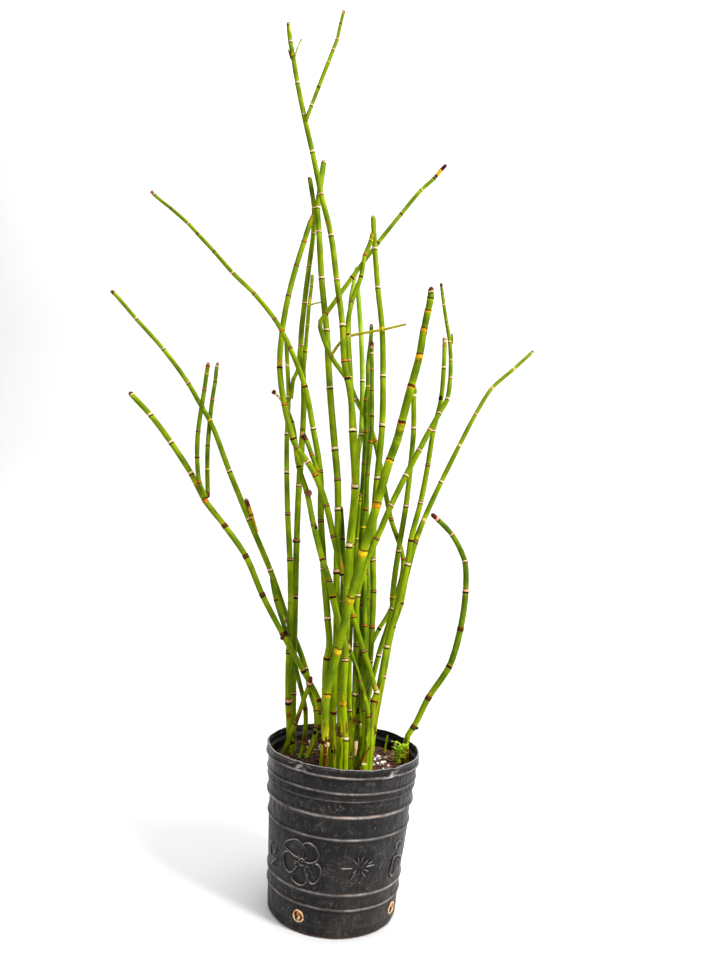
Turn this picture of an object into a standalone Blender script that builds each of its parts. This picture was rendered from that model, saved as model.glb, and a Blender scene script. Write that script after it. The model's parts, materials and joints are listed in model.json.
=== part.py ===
"""Potted rough horsetail: a ribbed nursery pot, the soil in it and a clump of jointed stems.

The origin is the centre of the pot's flat underside, +Z is up, and the clump's front faces -Y.
Every size and place named below is a real one in millimetres, and MM turns it into Blender's metres.
"""

import math
from dataclasses import dataclass

import bmesh
import bpy
from mathutils import Vector, noise

MM = 0.001
CLEARANCE = 0.3

# Pot, turned round the Z axis: places are (height, radius), from the rim down the outer side
POT_SIDES = 32
RIM_HEIGHT = 202.4
RIM_RADIUS = 100.0
BASE_RADIUS = 80.0
FLOOR_THICKNESS = 2.5
POT_OUTER = (
    (RIM_HEIGHT, RIM_RADIUS),
    (190.0, 99.2),
    (188.2, 97.6),
    (174.0, 96.0),
    (172.3, 96.5),
    (163.0, 95.2),
    (161.0, 94.0),
    (146.0, 93.2),
    (143.6, 93.6),
    (140.6, 91.2),
    (119.5, 90.8),
    (117.5, 91.5),
    (115.5, 90.4),
    (53.4, 85.3),
    (51.4, 86.0),
    (49.4, 84.8),
    (36.0, 84.5),
    (34.2, 85.1),
    (32.4, 84.1),
    (2.0, 81.5),
    (0.0, BASE_RADIUS),
)
POT_INNER = (
    (FLOOR_THICKNESS, 78.5),
    (117.0, 87.7),
    (145.0, 89.6),
    (RIM_HEIGHT, 98.0),
)

# Drain holes through the wall near the base, in degrees from the front, turning to the right
DRAIN_HOLE_DIAMETER = 14.0
DRAIN_HOLE_HEIGHT = 19.5
DRAIN_HOLE_ANGLES = (-27.0, 63.0, 153.0, 243.0)
DRAIN_HOLE_SIDES = 10
DRAIN_CUT_FROM = 70.0
DRAIN_CUT_TO = 95.0

# Soil, filling the pot to a little below the rim, with a mound at the back left
SOIL_EDGE_HEIGHT = 178.0
SOIL_LEVEL = 179.5
SOIL_RING_RADII = (78.0, 58.0, 34.0)
SOIL_ROUGHNESS = 1.3
SOIL_LUMP_SIZE = 22.0
MOUND_PLACE = (-34.0, 62.0)
MOUND_HEIGHT = 6.0
MOUND_SPREAD = 30.0

# Feet of the stems, each in a socket of its own in the soil
FOOT_HEIGHT = 166.0
SOCKET_SIDES = 6
SOCKET_TOP = 196.0

# Stems: a joint's collar flares out over the last few millimetres of the internode below it
COLLARED_WIDTH = 7.6
COLLAR_LENGTH = 4.0
COLLAR_FLARE = 1.10
NECK = 0.96
TIP_TAPER = 0.6
STEM_RESOLUTION = 1
TWIG_RESOLUTION = 0
TWIG_WIDTH = 3.0

# Seedling clump, a solid of the form that its leaves fill
SEEDLING_PLACE = (74.0, 10.0)
SEEDLING_HEIGHT = 23.0
SEEDLING_FOOT_RADIUS = 4.0
SEEDLING_TOP_RADIUS = 9.0
SEEDLING_SIDES = 8

# Finishes: colour, roughness, metallic
PLASTIC = ((0.045, 0.042, 0.042), 0.5, 0.0)
EARTH = ((0.085, 0.045, 0.025), 0.95, 0.0)
FRESH_GREEN = ((0.22, 0.34, 0.03), 0.45, 0.0)
DEEP_GREEN = ((0.11, 0.20, 0.02), 0.5, 0.0)
PALE_GREEN = ((0.35, 0.47, 0.12), 0.5, 0.0)
DEAD_BROWN = ((0.20, 0.08, 0.03), 0.8, 0.0)
STRAW = ((0.62, 0.45, 0.20), 0.75, 0.0)
BRIGHT_LEAF = ((0.42, 0.62, 0.03), 0.5, 0.0)


@dataclass(frozen=True)
class Stem:
    """One stem, fork or twig.

    depths holds (height, y) pairs, and y runs straight from one to the next. route holds the (x, height)
    of each joint and bend from the foot to the tip. plain_bends holds the heights of the bends that have
    no joint, which get no collar.
    """

    name: str
    foot_width: float
    tip_width: float
    finish: tuple
    depths: tuple
    route: tuple
    plain_bends: tuple = ()
    rooted: bool = True


TALL_STEMS = (
    Stem("tallest_stem", 7.6, 4.6, FRESH_GREEN,
         ((180, -57), (390, -57), (1200, -62)),
         ((-4, 187), (-6, 229), (-10, 283), (-12, 344), (-12, 406), (-13, 461), (-12, 535), (-21, 606),
          (-25, 643), (-32, 671), (-38, 693), (-44, 739), (-56, 797), (-68, 854), (-85, 907), (-101, 962),
          (-116, 1010), (-128, 1052), (-137, 1088), (-142, 1107), (-147, 1134)),
         plain_bends=(643,)),
    Stem("tallest_stem_fork", 4.4, 3.2, FRESH_GREEN,
         ((1000, -64.8), (1060, -68), (1200, -75)),
         ((-111, 1007), (-107, 1021), (-100, 1045), (-90, 1078), (-85, 1095), (-81, 1109), (-78, 1130),
          (-75, 1148)),
         rooted=False),
    Stem("second_stem", 7.4, 4.8, FRESH_GREEN,
         ((180, -34), (430, -20), (650, 2), (1000, 10)),
         ((-10, 179), (-12, 202), (-16, 248), (-18, 289), (-22, 364), (-27, 425), (-32, 506), (-36, 545),
          (-43, 586), (-57, 669), (-68, 748), (-81, 820), (-90, 885), (-95, 919), (-94, 946), (-92, 989))),
    Stem("third_stem", 6.0, 3.4, FRESH_GREEN,
         ((180, 43), (400, 37), (650, 21), (1000, 18)),
         ((-67, 175), (-75, 270), (-80, 351), (-85, 433), (-89, 516), (-90, 585), (-92, 646), (-96, 686),
          (-103, 728), (-103, 788), (-101, 840), (-99, 887), (-101, 923), (-111, 968))),
    Stem("companion_stem", 5.8, 4.4, FRESH_GREEN,
         ((180, -48), (390, -48), (940, -46)),
         ((0, 184), (-2, 227), (-5, 282), (-7, 343), (-8, 406), (-10, 462), (-10, 537), (-18, 607),
          (-30, 675), (-33, 697), (-38, 731), (-35, 774), (-26, 808), (-23, 837), (-17, 857), (-16, 868))),
    Stem("straight_right_stem", 6.8, 5.2, FRESH_GREEN,
         ((180, 4), (300, -3), (600, -26), (950, -28)),
         ((28, 189), (26, 261), (26, 312), (25, 357), (23, 403), (19, 444), (16, 496), (16, 551), (17, 620),
          (13, 685), (7, 747), (-3, 802), (-11, 854), (-14, 876), (-17, 900))),
)

LEFT_STEMS = (
    Stem("leaning_left_stem", 6.4, 4.4, FRESH_GREEN,
         ((180, -44), (330, -42), (400, -40), (530, -50), (1000, -52)),
         ((34, 192), (34, 234), (33, 270), (36, 281), (16, 330), (-1, 372), (-18, 424), (-34, 471),
          (-46, 509), (-63, 546), (-74, 562), (-89, 579), (-95, 590), (-110, 633), (-120, 680), (-121, 728),
          (-117, 774), (-110, 815), (-103, 847), (-97, 873), (-93, 885))),
    Stem("arching_stem", 6.8, 4.0, FRESH_GREEN,
         ((180, -48), (415, -38), (515, -32), (700, -66), (900, -95)),
         ((-16, 185), (-22, 216), (-29, 279), (-30, 317), (-28, 333), (-33, 367), (-43, 428), (-52, 489),
          (-58, 552), (-71, 606), (-85, 657), (-107, 703), (-119, 723), (-129, 737), (-157, 766),
          (-185, 789), (-210, 813), (-232, 833), (-244, 844), (-267, 861), (-289, 876), (-293, 880)),
         plain_bends=(333,)),
    Stem("bent_left_stem", 7.6, 2.6, FRESH_GREEN,
         ((180, 28), (400, 26), (600, 12), (850, 6)),
         ((-67, 180), (-73, 255), (-78, 319), (-82, 384), (-86, 460), (-89, 535), (-90, 611), (-90, 645),
          (-95, 684), (-95, 717), (-95, 754), (-95, 782), (-94, 808), (-94, 825)),
         plain_bends=(319,)),
    Stem("upright_left_stem", 8.6, 5.4, FRESH_GREEN,
         ((180, 14), (330, 16), (650, 6), (730, 3)),
         ((-69, 176), (-71, 194), (-78, 246), (-83, 311), (-86, 376), (-92, 434), (-100, 495), (-106, 551),
          (-110, 603), (-112, 653), (-117, 695), (-122, 733))),
    Stem("upright_left_fork", 3.4, 2.0, FRESH_GREEN,
         ((640, 1), (715, 2)),
         ((-108, 655), (-107, 677), (-103, 687), (-103, 723)),
         plain_bends=(687,), rooted=False),
    Stem("budded_stem", 7.0, 4.0, FRESH_GREEN,
         ((180, -68), (350, -68), (530, -40), (640, -36)),
         ((4, 190), (2, 228), (-4, 269), (-6, 322), (-8, 340), (-19, 369), (-28, 396), (-34, 415),
          (-45, 441), (-60, 483), (-73, 525), (-86, 556), (-100, 613), (-110, 633)),
         plain_bends=(340, 369)),
    Stem("dead_left_shoot", 3.4, 2.4, DEEP_GREEN,
         ((536, -43.4), (560, -45), (600, -45)),
         ((-56, 536), (-61, 552), (-70, 572), (-79, 591), (-86, 599)),
         plain_bends=(572,), rooted=False),
    Stem("long_left_stem", 6.8, 4.2, FRESH_GREEN,
         ((180, 2), (250, 31), (305, 51), (330, 52), (400, 46), (625, 26), (800, 20)),
         ((-48, 177), (-41, 195), (-38, 215), (-41, 236), (-51, 258), (-60, 285), (-91, 348), (-121, 416),
          (-156, 484), (-188, 548), (-220, 615), (-232, 632), (-254, 664), (-293, 709), (-334, 748),
          (-369, 782), (-373, 785)),
         plain_bends=(195,)),
    Stem("middle_left_stem", 6.4, 4.8, FRESH_GREEN,
         ((180, 0), (255, 3), (320, 7), (395, 15)),
         ((-57, 176), (-52, 199), (-54, 242), (-62, 267), (-87, 335), (-106, 379), (-115, 410))),
    Stem("low_left_stem", 7.6, 6.6, FRESH_GREEN,
         ((180, 2), (285, -4), (320, -3), (560, 12), (700, 30)),
         ((-24, 176), (-27, 211), (-34, 240), (-37, 256), (-60, 291), (-91, 336), (-123, 385), (-150, 434),
          (-182, 472), (-212, 504), (-235, 539), (-267, 579), (-300, 615), (-330, 642), (-334, 646))),
    Stem("low_left_front_fork", 5.2, 4.4, FRESH_GREEN,
         ((510, 3), (560, 2), (700, 2)),
         ((-213, 513), (-221, 528), (-227, 561), (-229, 596), (-226, 653), (-225, 674), (-224, 691)),
         rooted=False),
    Stem("low_left_back_fork", 5.2, 4.2, FRESH_GREEN,
         ((510, 14), (610, 34), (700, 44)),
         ((-211, 514), (-216, 546), (-220, 580), (-222, 646), (-221, 672), (-221, 694), (-220, 701)),
         rooted=False),
    Stem("short_left_stem", 5.2, 4.6, FRESH_GREEN,
         ((180, 13), (200, 4), (255, -7), (290, -15)),
         ((-80, 180), (-77, 192), (-65, 223), (-57, 254), (-50, 281), (-49, 288))),
)

RIGHT_STEMS = (
    Stem("kinked_stem", 5.8, 4.2, FRESH_GREEN,
         ((180, 45), (430, 32), (610, -6), (720, -20), (900, -12), (1010, -5)),
         ((27, 180), (24, 250), (23, 313), (36, 349), (47, 370), (61, 423), (61, 447), (40, 499), (19, 570),
          (9, 602), (-5, 631), (-20, 654), (-33, 678), (-57, 707), (-78, 751), (-69, 765), (-39, 817),
          (-8, 868), (20, 911), (45, 948), (61, 966), (70, 979), (77, 988)),
         plain_bends=(370, 423, 631, 751)),
    Stem("long_twig", 2.2, 1.4, FRESH_GREEN,
         ((640, -34), (740, -36)),
         ((-55, 708), (-46, 724), (-35, 732), (-20, 737), (7, 744), (38, 754)),
         plain_bends=(724,), rooted=False),
    Stem("thick_stem", 12.6, 8.0, FRESH_GREEN,
         ((180, -72), (350, -80), (830, -105)),
         ((-23, 193), (-23, 224), (-25, 280), (-16, 335), (-6, 397), (5, 455), (17, 514), (28, 568),
          (35, 593), (39, 615), (47, 660), (54, 697), (57, 729), (60, 752), (62, 768), (62, 779), (62, 783))),
    Stem("forked_right_stem", 7.2, 3.4, FRESH_GREEN,
         ((180, -28), (300, -28), (370, -33), (430, -42), (480, -44), (640, -30), (830, -25)),
         ((13, 177), (9, 241), (9, 273), (6, 335), (2, 399), (5, 419), (10, 442), (21, 472), (36, 516),
          (52, 556), (67, 590), (79, 618), (90, 641), (99, 661), (101, 689), (100, 712), (97, 737),
          (91, 763), (86, 786), (83, 801), (80, 816)),
         plain_bends=(419,)),
    Stem("brown_tip_stem", 6.8, 4.6, FRESH_GREEN,
         ((180, -30), (230, -28), (430, -20), (620, -18), (760, -12)),
         ((30, 190), (32, 227), (38, 276), (45, 335), (64, 442), (66, 473), (75, 523), (81, 573), (85, 619),
          (92, 661), (93, 705), (92, 735), (91, 748))),
    Stem("far_right_stem", 7.2, 4.2, FRESH_GREEN,
         ((180, -18), (430, -11), (560, 0), (780, 10)),
         ((36, 190), (38, 246), (45, 304), (52, 360), (60, 391), (63, 417), (73, 471), (82, 501), (102, 554),
          (123, 605), (142, 649), (162, 687), (190, 716), (216, 744))),
    Stem("slender_right_stem", 6.4, 5.0, FRESH_GREEN,
         ((180, 17), (300, 12), (430, 0), (560, -12), (700, -20)),
         ((29, 185), (28, 257), (37, 318), (50, 381), (49, 396), (52, 458), (57, 518), (59, 576), (59, 621),
          (56, 664), (56, 676))),
    Stem("curved_right_stem", 7.2, 5.2, FRESH_GREEN,
         ((180, 18), (225, 20), (300, 20), (500, 10)),
         ((85, 177), (83, 201), (84, 214), (91, 225), (108, 265), (133, 309), (144, 360), (147, 411),
          (143, 451), (123, 485), (102, 504), (93, 511)),
         plain_bends=(214,)),
)

MIDDLE_STEMS = (
    Stem("short_back_stem", 5.0, 4.0, DEEP_GREEN,
         ((180, -14), (450, 1), (600, 6), (750, 6), (900, 4)),
         ((8, 172), (4, 217), (-1, 286), (-5, 363), (-7, 441), (-10, 521), (-19, 602), (-28, 676),
          (-37, 745), (-39, 795), (-36, 822), (-34, 840)),
         plain_bends=(795,)),
    Stem("pale_stem", 6.2, 5.0, PALE_GREEN,
         ((180, -18.5), (250, -20), (400, -18), (550, -9), (610, 4), (840, 13)),
         ((20, 175), (14, 249), (11, 319), (7, 378), (1, 442), (-8, 521), (-12, 577), (-10, 609),
          (-14, 683), (-21, 748), (-32, 820))),
    Stem("slim_right_stem", 5.6, 4.0, DEEP_GREEN,
         ((180, -24), (250, -26.5), (400, -28), (600, -22), (780, -20)),
         ((24, 178), (19, 239), (14, 323), (9, 386), (-1, 495), (-3, 568), (-4, 610), (-7, 652), (-6, 670),
          (-8, 699), (-7, 744), (-8, 755))),
    Stem("dead_bud_stem", 5.6, 4.0, FRESH_GREEN,
         ((180, -38), (256, -36.5), (400, -34), (760, -32)),
         ((28, 182), (22, 256), (18, 320), (15, 361), (9, 425), (3, 485), (4, 508), (3, 554), (4, 596),
          (3, 630), (0, 664), (-2, 691), (-4, 712), (-5, 729))),
    Stem("pale_slim_stem", 4.6, 3.8, PALE_GREEN,
         ((180, 30), (320, 24), (450, 5), (600, -14), (720, -12)),
         ((33, 172), (28, 254), (23, 321), (18, 389), (13, 442), (4, 535), (-1, 614), (-5, 670))),
    Stem("dead_right_stem", 6.0, 2.6, DEEP_GREEN,
         ((180, -52), (340, -62)),
         ((30, 189), (29, 225), (28, 254), (14, 297), (-1, 333), (-9, 349))),
    Stem("hidden_stem", 6.2, 4.8, DEEP_GREEN,
         ((180, -21), (400, -10), (600, -2)),
         ((-14, 177), (-20, 242), (-24, 301), (-20, 341), (-17, 386), (-23, 468), (-29, 511))),
    Stem("dead_middle_stem", 4.6, 3.0, DEEP_GREEN,
         ((180, -13), (320, -14), (420, -16)),
         ((32, 178), (26, 251), (20, 327), (16, 394), (12, 430))),
    Stem("dead_slim_stem", 6.0, 3.0, DEEP_GREEN,
         ((180, -42), (300, -37), (375, -27), (420, -30), (520, -36)),
         ((11, 182), (8, 232), (0, 278), (-2, 337), (-4, 404), (-4, 470), (-4, 519), (-4, 529))),
)

SMALL_PIECES = (
    Stem("right_top_twig", 1.8, 1.0, DEAD_BROWN,
         ((1080, -65), (1110, -66)),
         ((-134, 1085), (-131, 1100), (-127, 1110)),
         rooted=False),
    Stem("left_top_twig", 1.6, 1.0, DEAD_BROWN,
         ((1080, -64.5), (1100, -66)),
         ((-140, 1085), (-142, 1091), (-144, 1095)),
         rooted=False),
    Stem("dead_side_shoot", 3.0, 1.6, DEAD_BROWN,
         ((460, 37), (520, 37)),
         ((-143, 469), (-152, 490), (-163, 513)),
         rooted=False),
    Stem("dead_side_twig", 1.8, 1.0, DEAD_BROWN,
         ((630, -50), (660, -50)),
         ((-114, 637), (-120, 644), (-127, 650)),
         rooted=False),
    Stem("pink_twig", 1.8, 1.2, STRAW,
         ((200, -33.4), (230, -33.4)),
         ((27, 227), (33, 225), (40, 225)),
         rooted=False),
    Stem("dry_peel", 4.0, 3.4, STRAW,
         ((195, -36), (225, -36)),
         ((15, 200), (15, 210), (15, 219)),
         rooted=False),
    Stem("dry_curl", 2.8, 1.6, STRAW,
         ((195, -57.5), (220, -57.5)),
         ((27, 198), (30, 208), (34, 219)),
         rooted=False),
    Stem("dead_stalk", 4.4, 3.2, DEAD_BROWN,
         ((180, -82), (230, -82)),
         ((-20, 190), (-21, 211), (-22, 226))),
    Stem("cut_stump", 6.4, 6.0, STRAW,
         ((180, -64), (200, -64)),
         ((27, 188), (27, 199))),
    Stem("thin_sprout", 1.8, 1.2, BRIGHT_LEAF,
         ((180, 52), (205, 48)),
         ((57, 184), (58, 195), (59, 204))),
)

ALL_STEMS = TALL_STEMS + LEFT_STEMS + RIGHT_STEMS + MIDDLE_STEMS + SMALL_PIECES


def between(pairs, at):
    """The value at this place, on straight lines from each (place, value) pair to the next."""
    if at <= pairs[0][0]:
        return pairs[0][1]
    for (low, first), (high, second) in zip(pairs, pairs[1:]):
        if at <= high:
            return first + (second - first) * (at - low) / (high - low)
    return pairs[-1][1]


def clear_scene():
    for obj in list(bpy.data.objects):
        bpy.data.objects.remove(obj, do_unlink=True)


def collection_for(name):
    collection = bpy.data.collections.new(name)
    bpy.context.scene.collection.children.link(collection)
    return collection


def dress(obj, finish):
    """Gives the object a material of its own."""
    colour, roughness, metallic = finish
    material = bpy.data.materials.new(obj.name + "_finish")
    material.use_nodes = True
    shader = material.node_tree.nodes["Principled BSDF"]
    shader.inputs["Base Color"].default_value = (*colour, 1)
    shader.inputs["Roughness"].default_value = roughness
    shader.inputs["Metallic"].default_value = metallic
    material.diffuse_color = (*colour, 1)
    obj.data.materials.append(material)


def mesh_object(name, shape, collection):
    """An object of this bmesh, which it frees."""
    mesh = bpy.data.meshes.new(name)
    shape.to_mesh(mesh)
    shape.free()
    obj = bpy.data.objects.new(name, mesh)
    collection.objects.link(obj)
    return obj


def turned_mesh(name, profile):
    """The mesh of a profile of (height, radius) places turned round the Z axis."""
    outline = bmesh.new()
    corners = [outline.verts.new((radius * MM, 0, height * MM)) for height, radius in profile]
    for corner, following in zip(corners, corners[1:]):
        outline.edges.new((corner, following))
    obj = mesh_object(name + "_profile", outline, bpy.context.scene.collection)
    screw = obj.modifiers.new("turn", "SCREW")
    screw.steps = screw.render_steps = POT_SIDES
    screw.use_merge_vertices = True
    screw.merge_threshold = 0.00001
    graph = bpy.context.evaluated_depsgraph_get()
    mesh = bpy.data.meshes.new_from_object(obj.evaluated_get(graph))
    mesh.name = name
    bpy.data.objects.remove(obj, do_unlink=True)
    shape = bmesh.new()
    shape.from_mesh(mesh)
    bmesh.ops.remove_doubles(shape, verts=shape.verts, dist=0.00001)
    shape.to_mesh(mesh)
    shape.free()
    return mesh


def cutter(obj):
    obj.hide_render = True
    obj.display_type = "WIRE"
    return obj


def subtract(obj, collection):
    """Cuts every object of a collection out of this one."""
    cut = obj.modifiers.new("cut", "BOOLEAN")
    cut.operation = "DIFFERENCE"
    cut.solver = "EXACT"
    cut.operand_type = "COLLECTION"
    cut.collection = collection


def from_front(angle, radius, height):
    """A place round the pot, the angle in degrees from the front and turning to the right."""
    turn = math.radians(angle)
    return Vector((radius * math.sin(turn), -radius * math.cos(turn), height)) * MM


def make_rod(name, start, end, radius, sides, collection):
    """A closed rod from one place to the other, as a cutter."""
    along = end - start
    rod = bmesh.new()
    bmesh.ops.create_cone(rod, cap_ends=True, segments=sides, radius1=radius, radius2=radius,
                          depth=along.length)
    obj = mesh_object(name, rod, collection)
    obj.location = (start + end) / 2
    obj.rotation_euler = along.to_track_quat("Z", "Y").to_euler()
    return cutter(obj)


def make_pot(parts):
    centre_of_base = (0.0, 0.0)
    centre_of_floor = (FLOOR_THICKNESS, 0.0)
    profile = (centre_of_floor, *POT_INNER, *POT_OUTER, centre_of_base)
    pot = bpy.data.objects.new("nursery_pot", turned_mesh("nursery_pot", profile))
    parts.objects.link(pot)
    holes = collection_for("drain_hole_cutters")
    for number, angle in enumerate(DRAIN_HOLE_ANGLES, 1):
        make_rod(f"drain_hole_{number}", from_front(angle, DRAIN_CUT_FROM, DRAIN_HOLE_HEIGHT),
                 from_front(angle, DRAIN_CUT_TO, DRAIN_HOLE_HEIGHT), DRAIN_HOLE_DIAMETER / 2 * MM,
                 DRAIN_HOLE_SIDES, holes)
    subtract(pot, holes)
    dress(pot, PLASTIC)
    pot.data.shade_smooth()


def soil_height(x, y):
    """Height of the soil at a place, all in millimetres."""
    away = math.hypot(x - MOUND_PLACE[0], y - MOUND_PLACE[1])
    mound = MOUND_HEIGHT * math.exp(-((away / MOUND_SPREAD) ** 2))
    lumps = noise.noise(Vector((x, y, 0)) / SOIL_LUMP_SIZE)
    return SOIL_LEVEL + mound + SOIL_ROUGHNESS * lumps


def foot_direction(stem):
    start, following = route_of(stem)[:2]
    return (start - following).normalized()


def make_soil(parts):
    wall = [(height, radius - CLEARANCE) for height, radius in POT_INNER]
    bottom = FLOOR_THICKNESS + CLEARANCE
    sides = [(height, between(wall, height)) for height in (SOIL_EDGE_HEIGHT, 145.0, 117.0, bottom)]
    top = [(SOIL_LEVEL, radius) for radius in (0.0, *reversed(SOIL_RING_RADII))]
    mesh = turned_mesh("soil", (*top, *sides, (bottom, 0.0)))
    for vertex in mesh.vertices:
        if vertex.co.z > (SOIL_EDGE_HEIGHT + SOIL_LEVEL) / 2 * MM:
            vertex.co.z = soil_height(vertex.co.x / MM, vertex.co.y / MM) * MM
    soil = bpy.data.objects.new("soil", mesh)
    parts.objects.link(soil)
    sockets = collection_for("socket_cutters")
    for stem in ALL_STEMS:
        if not stem.rooted:
            continue
        foot = rooted_points(stem)[0]
        up = -foot_direction(stem)
        top_of_socket = foot + up * (SOCKET_TOP * MM - foot.z) / up.z
        across_flats = stem.foot_width / 2 + CLEARANCE
        make_rod("socket_" + stem.name, foot - up * CLEARANCE * MM, top_of_socket,
                 across_flats / math.cos(math.pi / SOCKET_SIDES) * MM, SOCKET_SIDES, sockets)
    subtract(soil, sockets)
    dress(soil, EARTH)


def route_of(stem):
    """The stem's places from foot to tip, in metres."""
    return [Vector((x, between(stem.depths, height), height)) * MM for x, height in stem.route]


def rooted_points(stem):
    """The route with the foot carried on down into the soil."""
    points = route_of(stem)
    if not stem.rooted:
        return points
    down = foot_direction(stem)
    return [points[0] + down * (points[0].z - FOOT_HEIGHT * MM) / -down.z, *points]


def rings_of(stem):
    """(place, width) of every ring of the stem's tube, the width tapering from foot to tip."""
    points = rooted_points(stem)
    lengths = [0.0]
    for point, following in zip(points, points[1:]):
        lengths.append(lengths[-1] + (following - point).length)
    widths = [stem.foot_width + (stem.tip_width - stem.foot_width) * length / lengths[-1] for length in lengths]
    widths[-1] *= TIP_TAPER
    if stem.foot_width < COLLARED_WIDTH:
        return list(zip(points, widths))
    rings = [(points[0], widths[0]), (points[1], widths[1])]
    for below, point, width in zip(points[1:], points[2:-1], widths[2:-1]):
        if round(point.z / MM) in stem.plain_bends:
            rings.append((point, width))
            continue
        down = (below - point).normalized()
        rings.append((point + down * COLLAR_LENGTH * MM, width * NECK))
        rings.append((point, width * COLLAR_FLARE))
    return [*rings, (points[-1], widths[-1])]


def make_stem(stem, parts):
    """The stem as a curve with a round bevel, its thickness set ring by ring."""
    rings = rings_of(stem)
    curve = bpy.data.curves.new(stem.name, "CURVE")
    curve.dimensions = "3D"
    curve.bevel_depth = stem.foot_width / 2 * MM
    curve.bevel_resolution = STEM_RESOLUTION if stem.foot_width > TWIG_WIDTH else TWIG_RESOLUTION
    curve.use_fill_caps = True
    spline = curve.splines.new("POLY")
    spline.points.add(len(rings) - 1)
    for point, (place, width) in zip(spline.points, rings):
        point.co = (*place, 1)
        point.radius = width / stem.foot_width
    obj = bpy.data.objects.new(stem.name, curve)
    parts.objects.link(obj)
    dress(obj, stem.finish)


def make_seedling(parts):
    x, y = SEEDLING_PLACE
    shape = bmesh.new()
    bmesh.ops.create_cone(shape, cap_ends=True, segments=SEEDLING_SIDES, radius1=SEEDLING_FOOT_RADIUS * MM,
                          radius2=SEEDLING_TOP_RADIUS * MM, depth=SEEDLING_HEIGHT * MM)
    obj = mesh_object("seedling_clump", shape, parts)
    highest_soil = SOIL_LEVEL + SOIL_ROUGHNESS
    obj.location = Vector((x, y, highest_soil + CLEARANCE + SEEDLING_HEIGHT / 2)) * MM
    dress(obj, BRIGHT_LEAF)


def main():
    clear_scene()
    parts = collection_for("potted_rough_horsetail")
    make_pot(parts)
    make_soil(parts)
    for stem in ALL_STEMS:
        make_stem(stem, parts)
    make_seedling(parts)


if __name__ == "__main__":
    main()
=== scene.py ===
"""Looks of the potted rough horsetail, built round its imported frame.

Sizes and places are in millimetres unless a name says otherwise, and MM turns them into Blender's metres.
The pot's front faces -Y. A turn is an angle in degrees from the front, and it grows to the right.
"""

import json
import logging
import math
from dataclasses import dataclass
from enum import Enum
from random import Random

import bmesh
import bpy
import numpy as np
from bpy.types import Material, Object
from mathutils import Matrix, Vector, noise

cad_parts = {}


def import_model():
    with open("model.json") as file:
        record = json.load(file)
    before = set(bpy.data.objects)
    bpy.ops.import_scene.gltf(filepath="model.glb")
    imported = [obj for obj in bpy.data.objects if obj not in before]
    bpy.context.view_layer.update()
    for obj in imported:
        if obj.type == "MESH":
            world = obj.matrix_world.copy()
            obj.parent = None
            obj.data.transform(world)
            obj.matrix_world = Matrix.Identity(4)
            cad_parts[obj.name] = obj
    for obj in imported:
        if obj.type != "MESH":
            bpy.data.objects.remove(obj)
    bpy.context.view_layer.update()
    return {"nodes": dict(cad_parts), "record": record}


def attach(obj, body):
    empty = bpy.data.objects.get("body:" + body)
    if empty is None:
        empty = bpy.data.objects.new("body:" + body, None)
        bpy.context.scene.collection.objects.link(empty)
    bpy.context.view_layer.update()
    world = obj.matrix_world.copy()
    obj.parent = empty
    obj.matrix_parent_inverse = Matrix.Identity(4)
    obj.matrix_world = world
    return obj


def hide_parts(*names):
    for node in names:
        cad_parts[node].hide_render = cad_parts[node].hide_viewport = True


MM = 0.001
BODY = "root"
WELD = 0.00001
ONCE_ROUND = math.tau
AHEAD = np.array([0, -1, 0])
log = logging.getLogger("horsetail")

Array = np.ndarray
Colour = tuple[float, float, float]
Row = tuple[float, ...]
Steps = tuple[tuple[float, float], ...]
Socket = bpy.types.NodeSocket


def light_of(value: int) -> float:
    """How much light an everyday 0 to 255 value stands for, by the curve of all but the darkest."""
    return ((value / 255 + 0.055) / 1.055) ** 2.4


class Tint(Enum):
    """Named colours of the plant, the soil and the pot, as everyday 0 to 255 values."""

    CREAM = (228, 204, 146)
    PINK = (222, 160, 122)
    STRAW = (222, 186, 128)
    PEACH = (230, 174, 138)
    YELLOW = (208, 188, 26)
    AMBER = (212, 152, 16)
    OLIVE = (150, 142, 8)
    SHELL = (244, 204, 160)
    TAN = (188, 132, 78)
    RUST = (104, 34, 8)
    UMBER = (44, 14, 4)
    ORANGE = (204, 122, 22)
    GOLD = (206, 158, 22)
    BROWN = (86, 42, 16)
    DARK = (40, 17, 8)
    BLACK = (18, 8, 4)
    RED = (104, 28, 10)
    PLUM = (74, 30, 32)
    BARK = (108, 68, 48)
    EARTH = (62, 38, 27)
    GREY_BROWN = (120, 98, 82)
    WHITE = (244, 243, 240)
    SILVER = (172, 168, 170)
    MOSS = (108, 128, 26)
    LIME = (172, 204, 8)
    SHADED_LEAF = (84, 134, 10)

    @property
    def linear(self) -> Colour:
        """The colour as the linear values that shaders use."""
        return tuple(c / 255 / 12.92 if c < 11 else light_of(c) for c in self.value)


T = Tint


def unit(vectors: Array) -> Array:
    """The same directions with a length of one."""
    return vectors / np.maximum(np.linalg.norm(vectors, axis=-1, keepdims=True), 1e-9)


def ease(low: float | Array, high: float | Array, value: Array) -> Array:
    """A smooth step from 0 at low to 1 at high, read at value."""
    share = np.clip((value - low) / (high - low), 0, 1)
    return share * share * (3 - 2 * share)


def bell(away: Array, width: float) -> Array:
    """A soft hump, 1 in its middle and nearly 0 beyond twice its width."""
    return np.exp(-((away / width) ** 2))


def off(angle: Array, turn: float) -> Array:
    """How far angles are from a turn, in radians between half a round back and half a round on."""
    return (angle - math.radians(turn) + math.pi) % ONCE_ROUND - math.pi


def sides_round(count: int) -> Array:
    """The angle of each of this many sides, once round."""
    return np.arange(count) * ONCE_ROUND / count


def reach_along(places: Array) -> Array:
    """How far along a line each of its places is."""
    return np.concatenate([[0], np.cumsum(np.linalg.norm(np.diff(places, axis=0), axis=1))])


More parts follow.
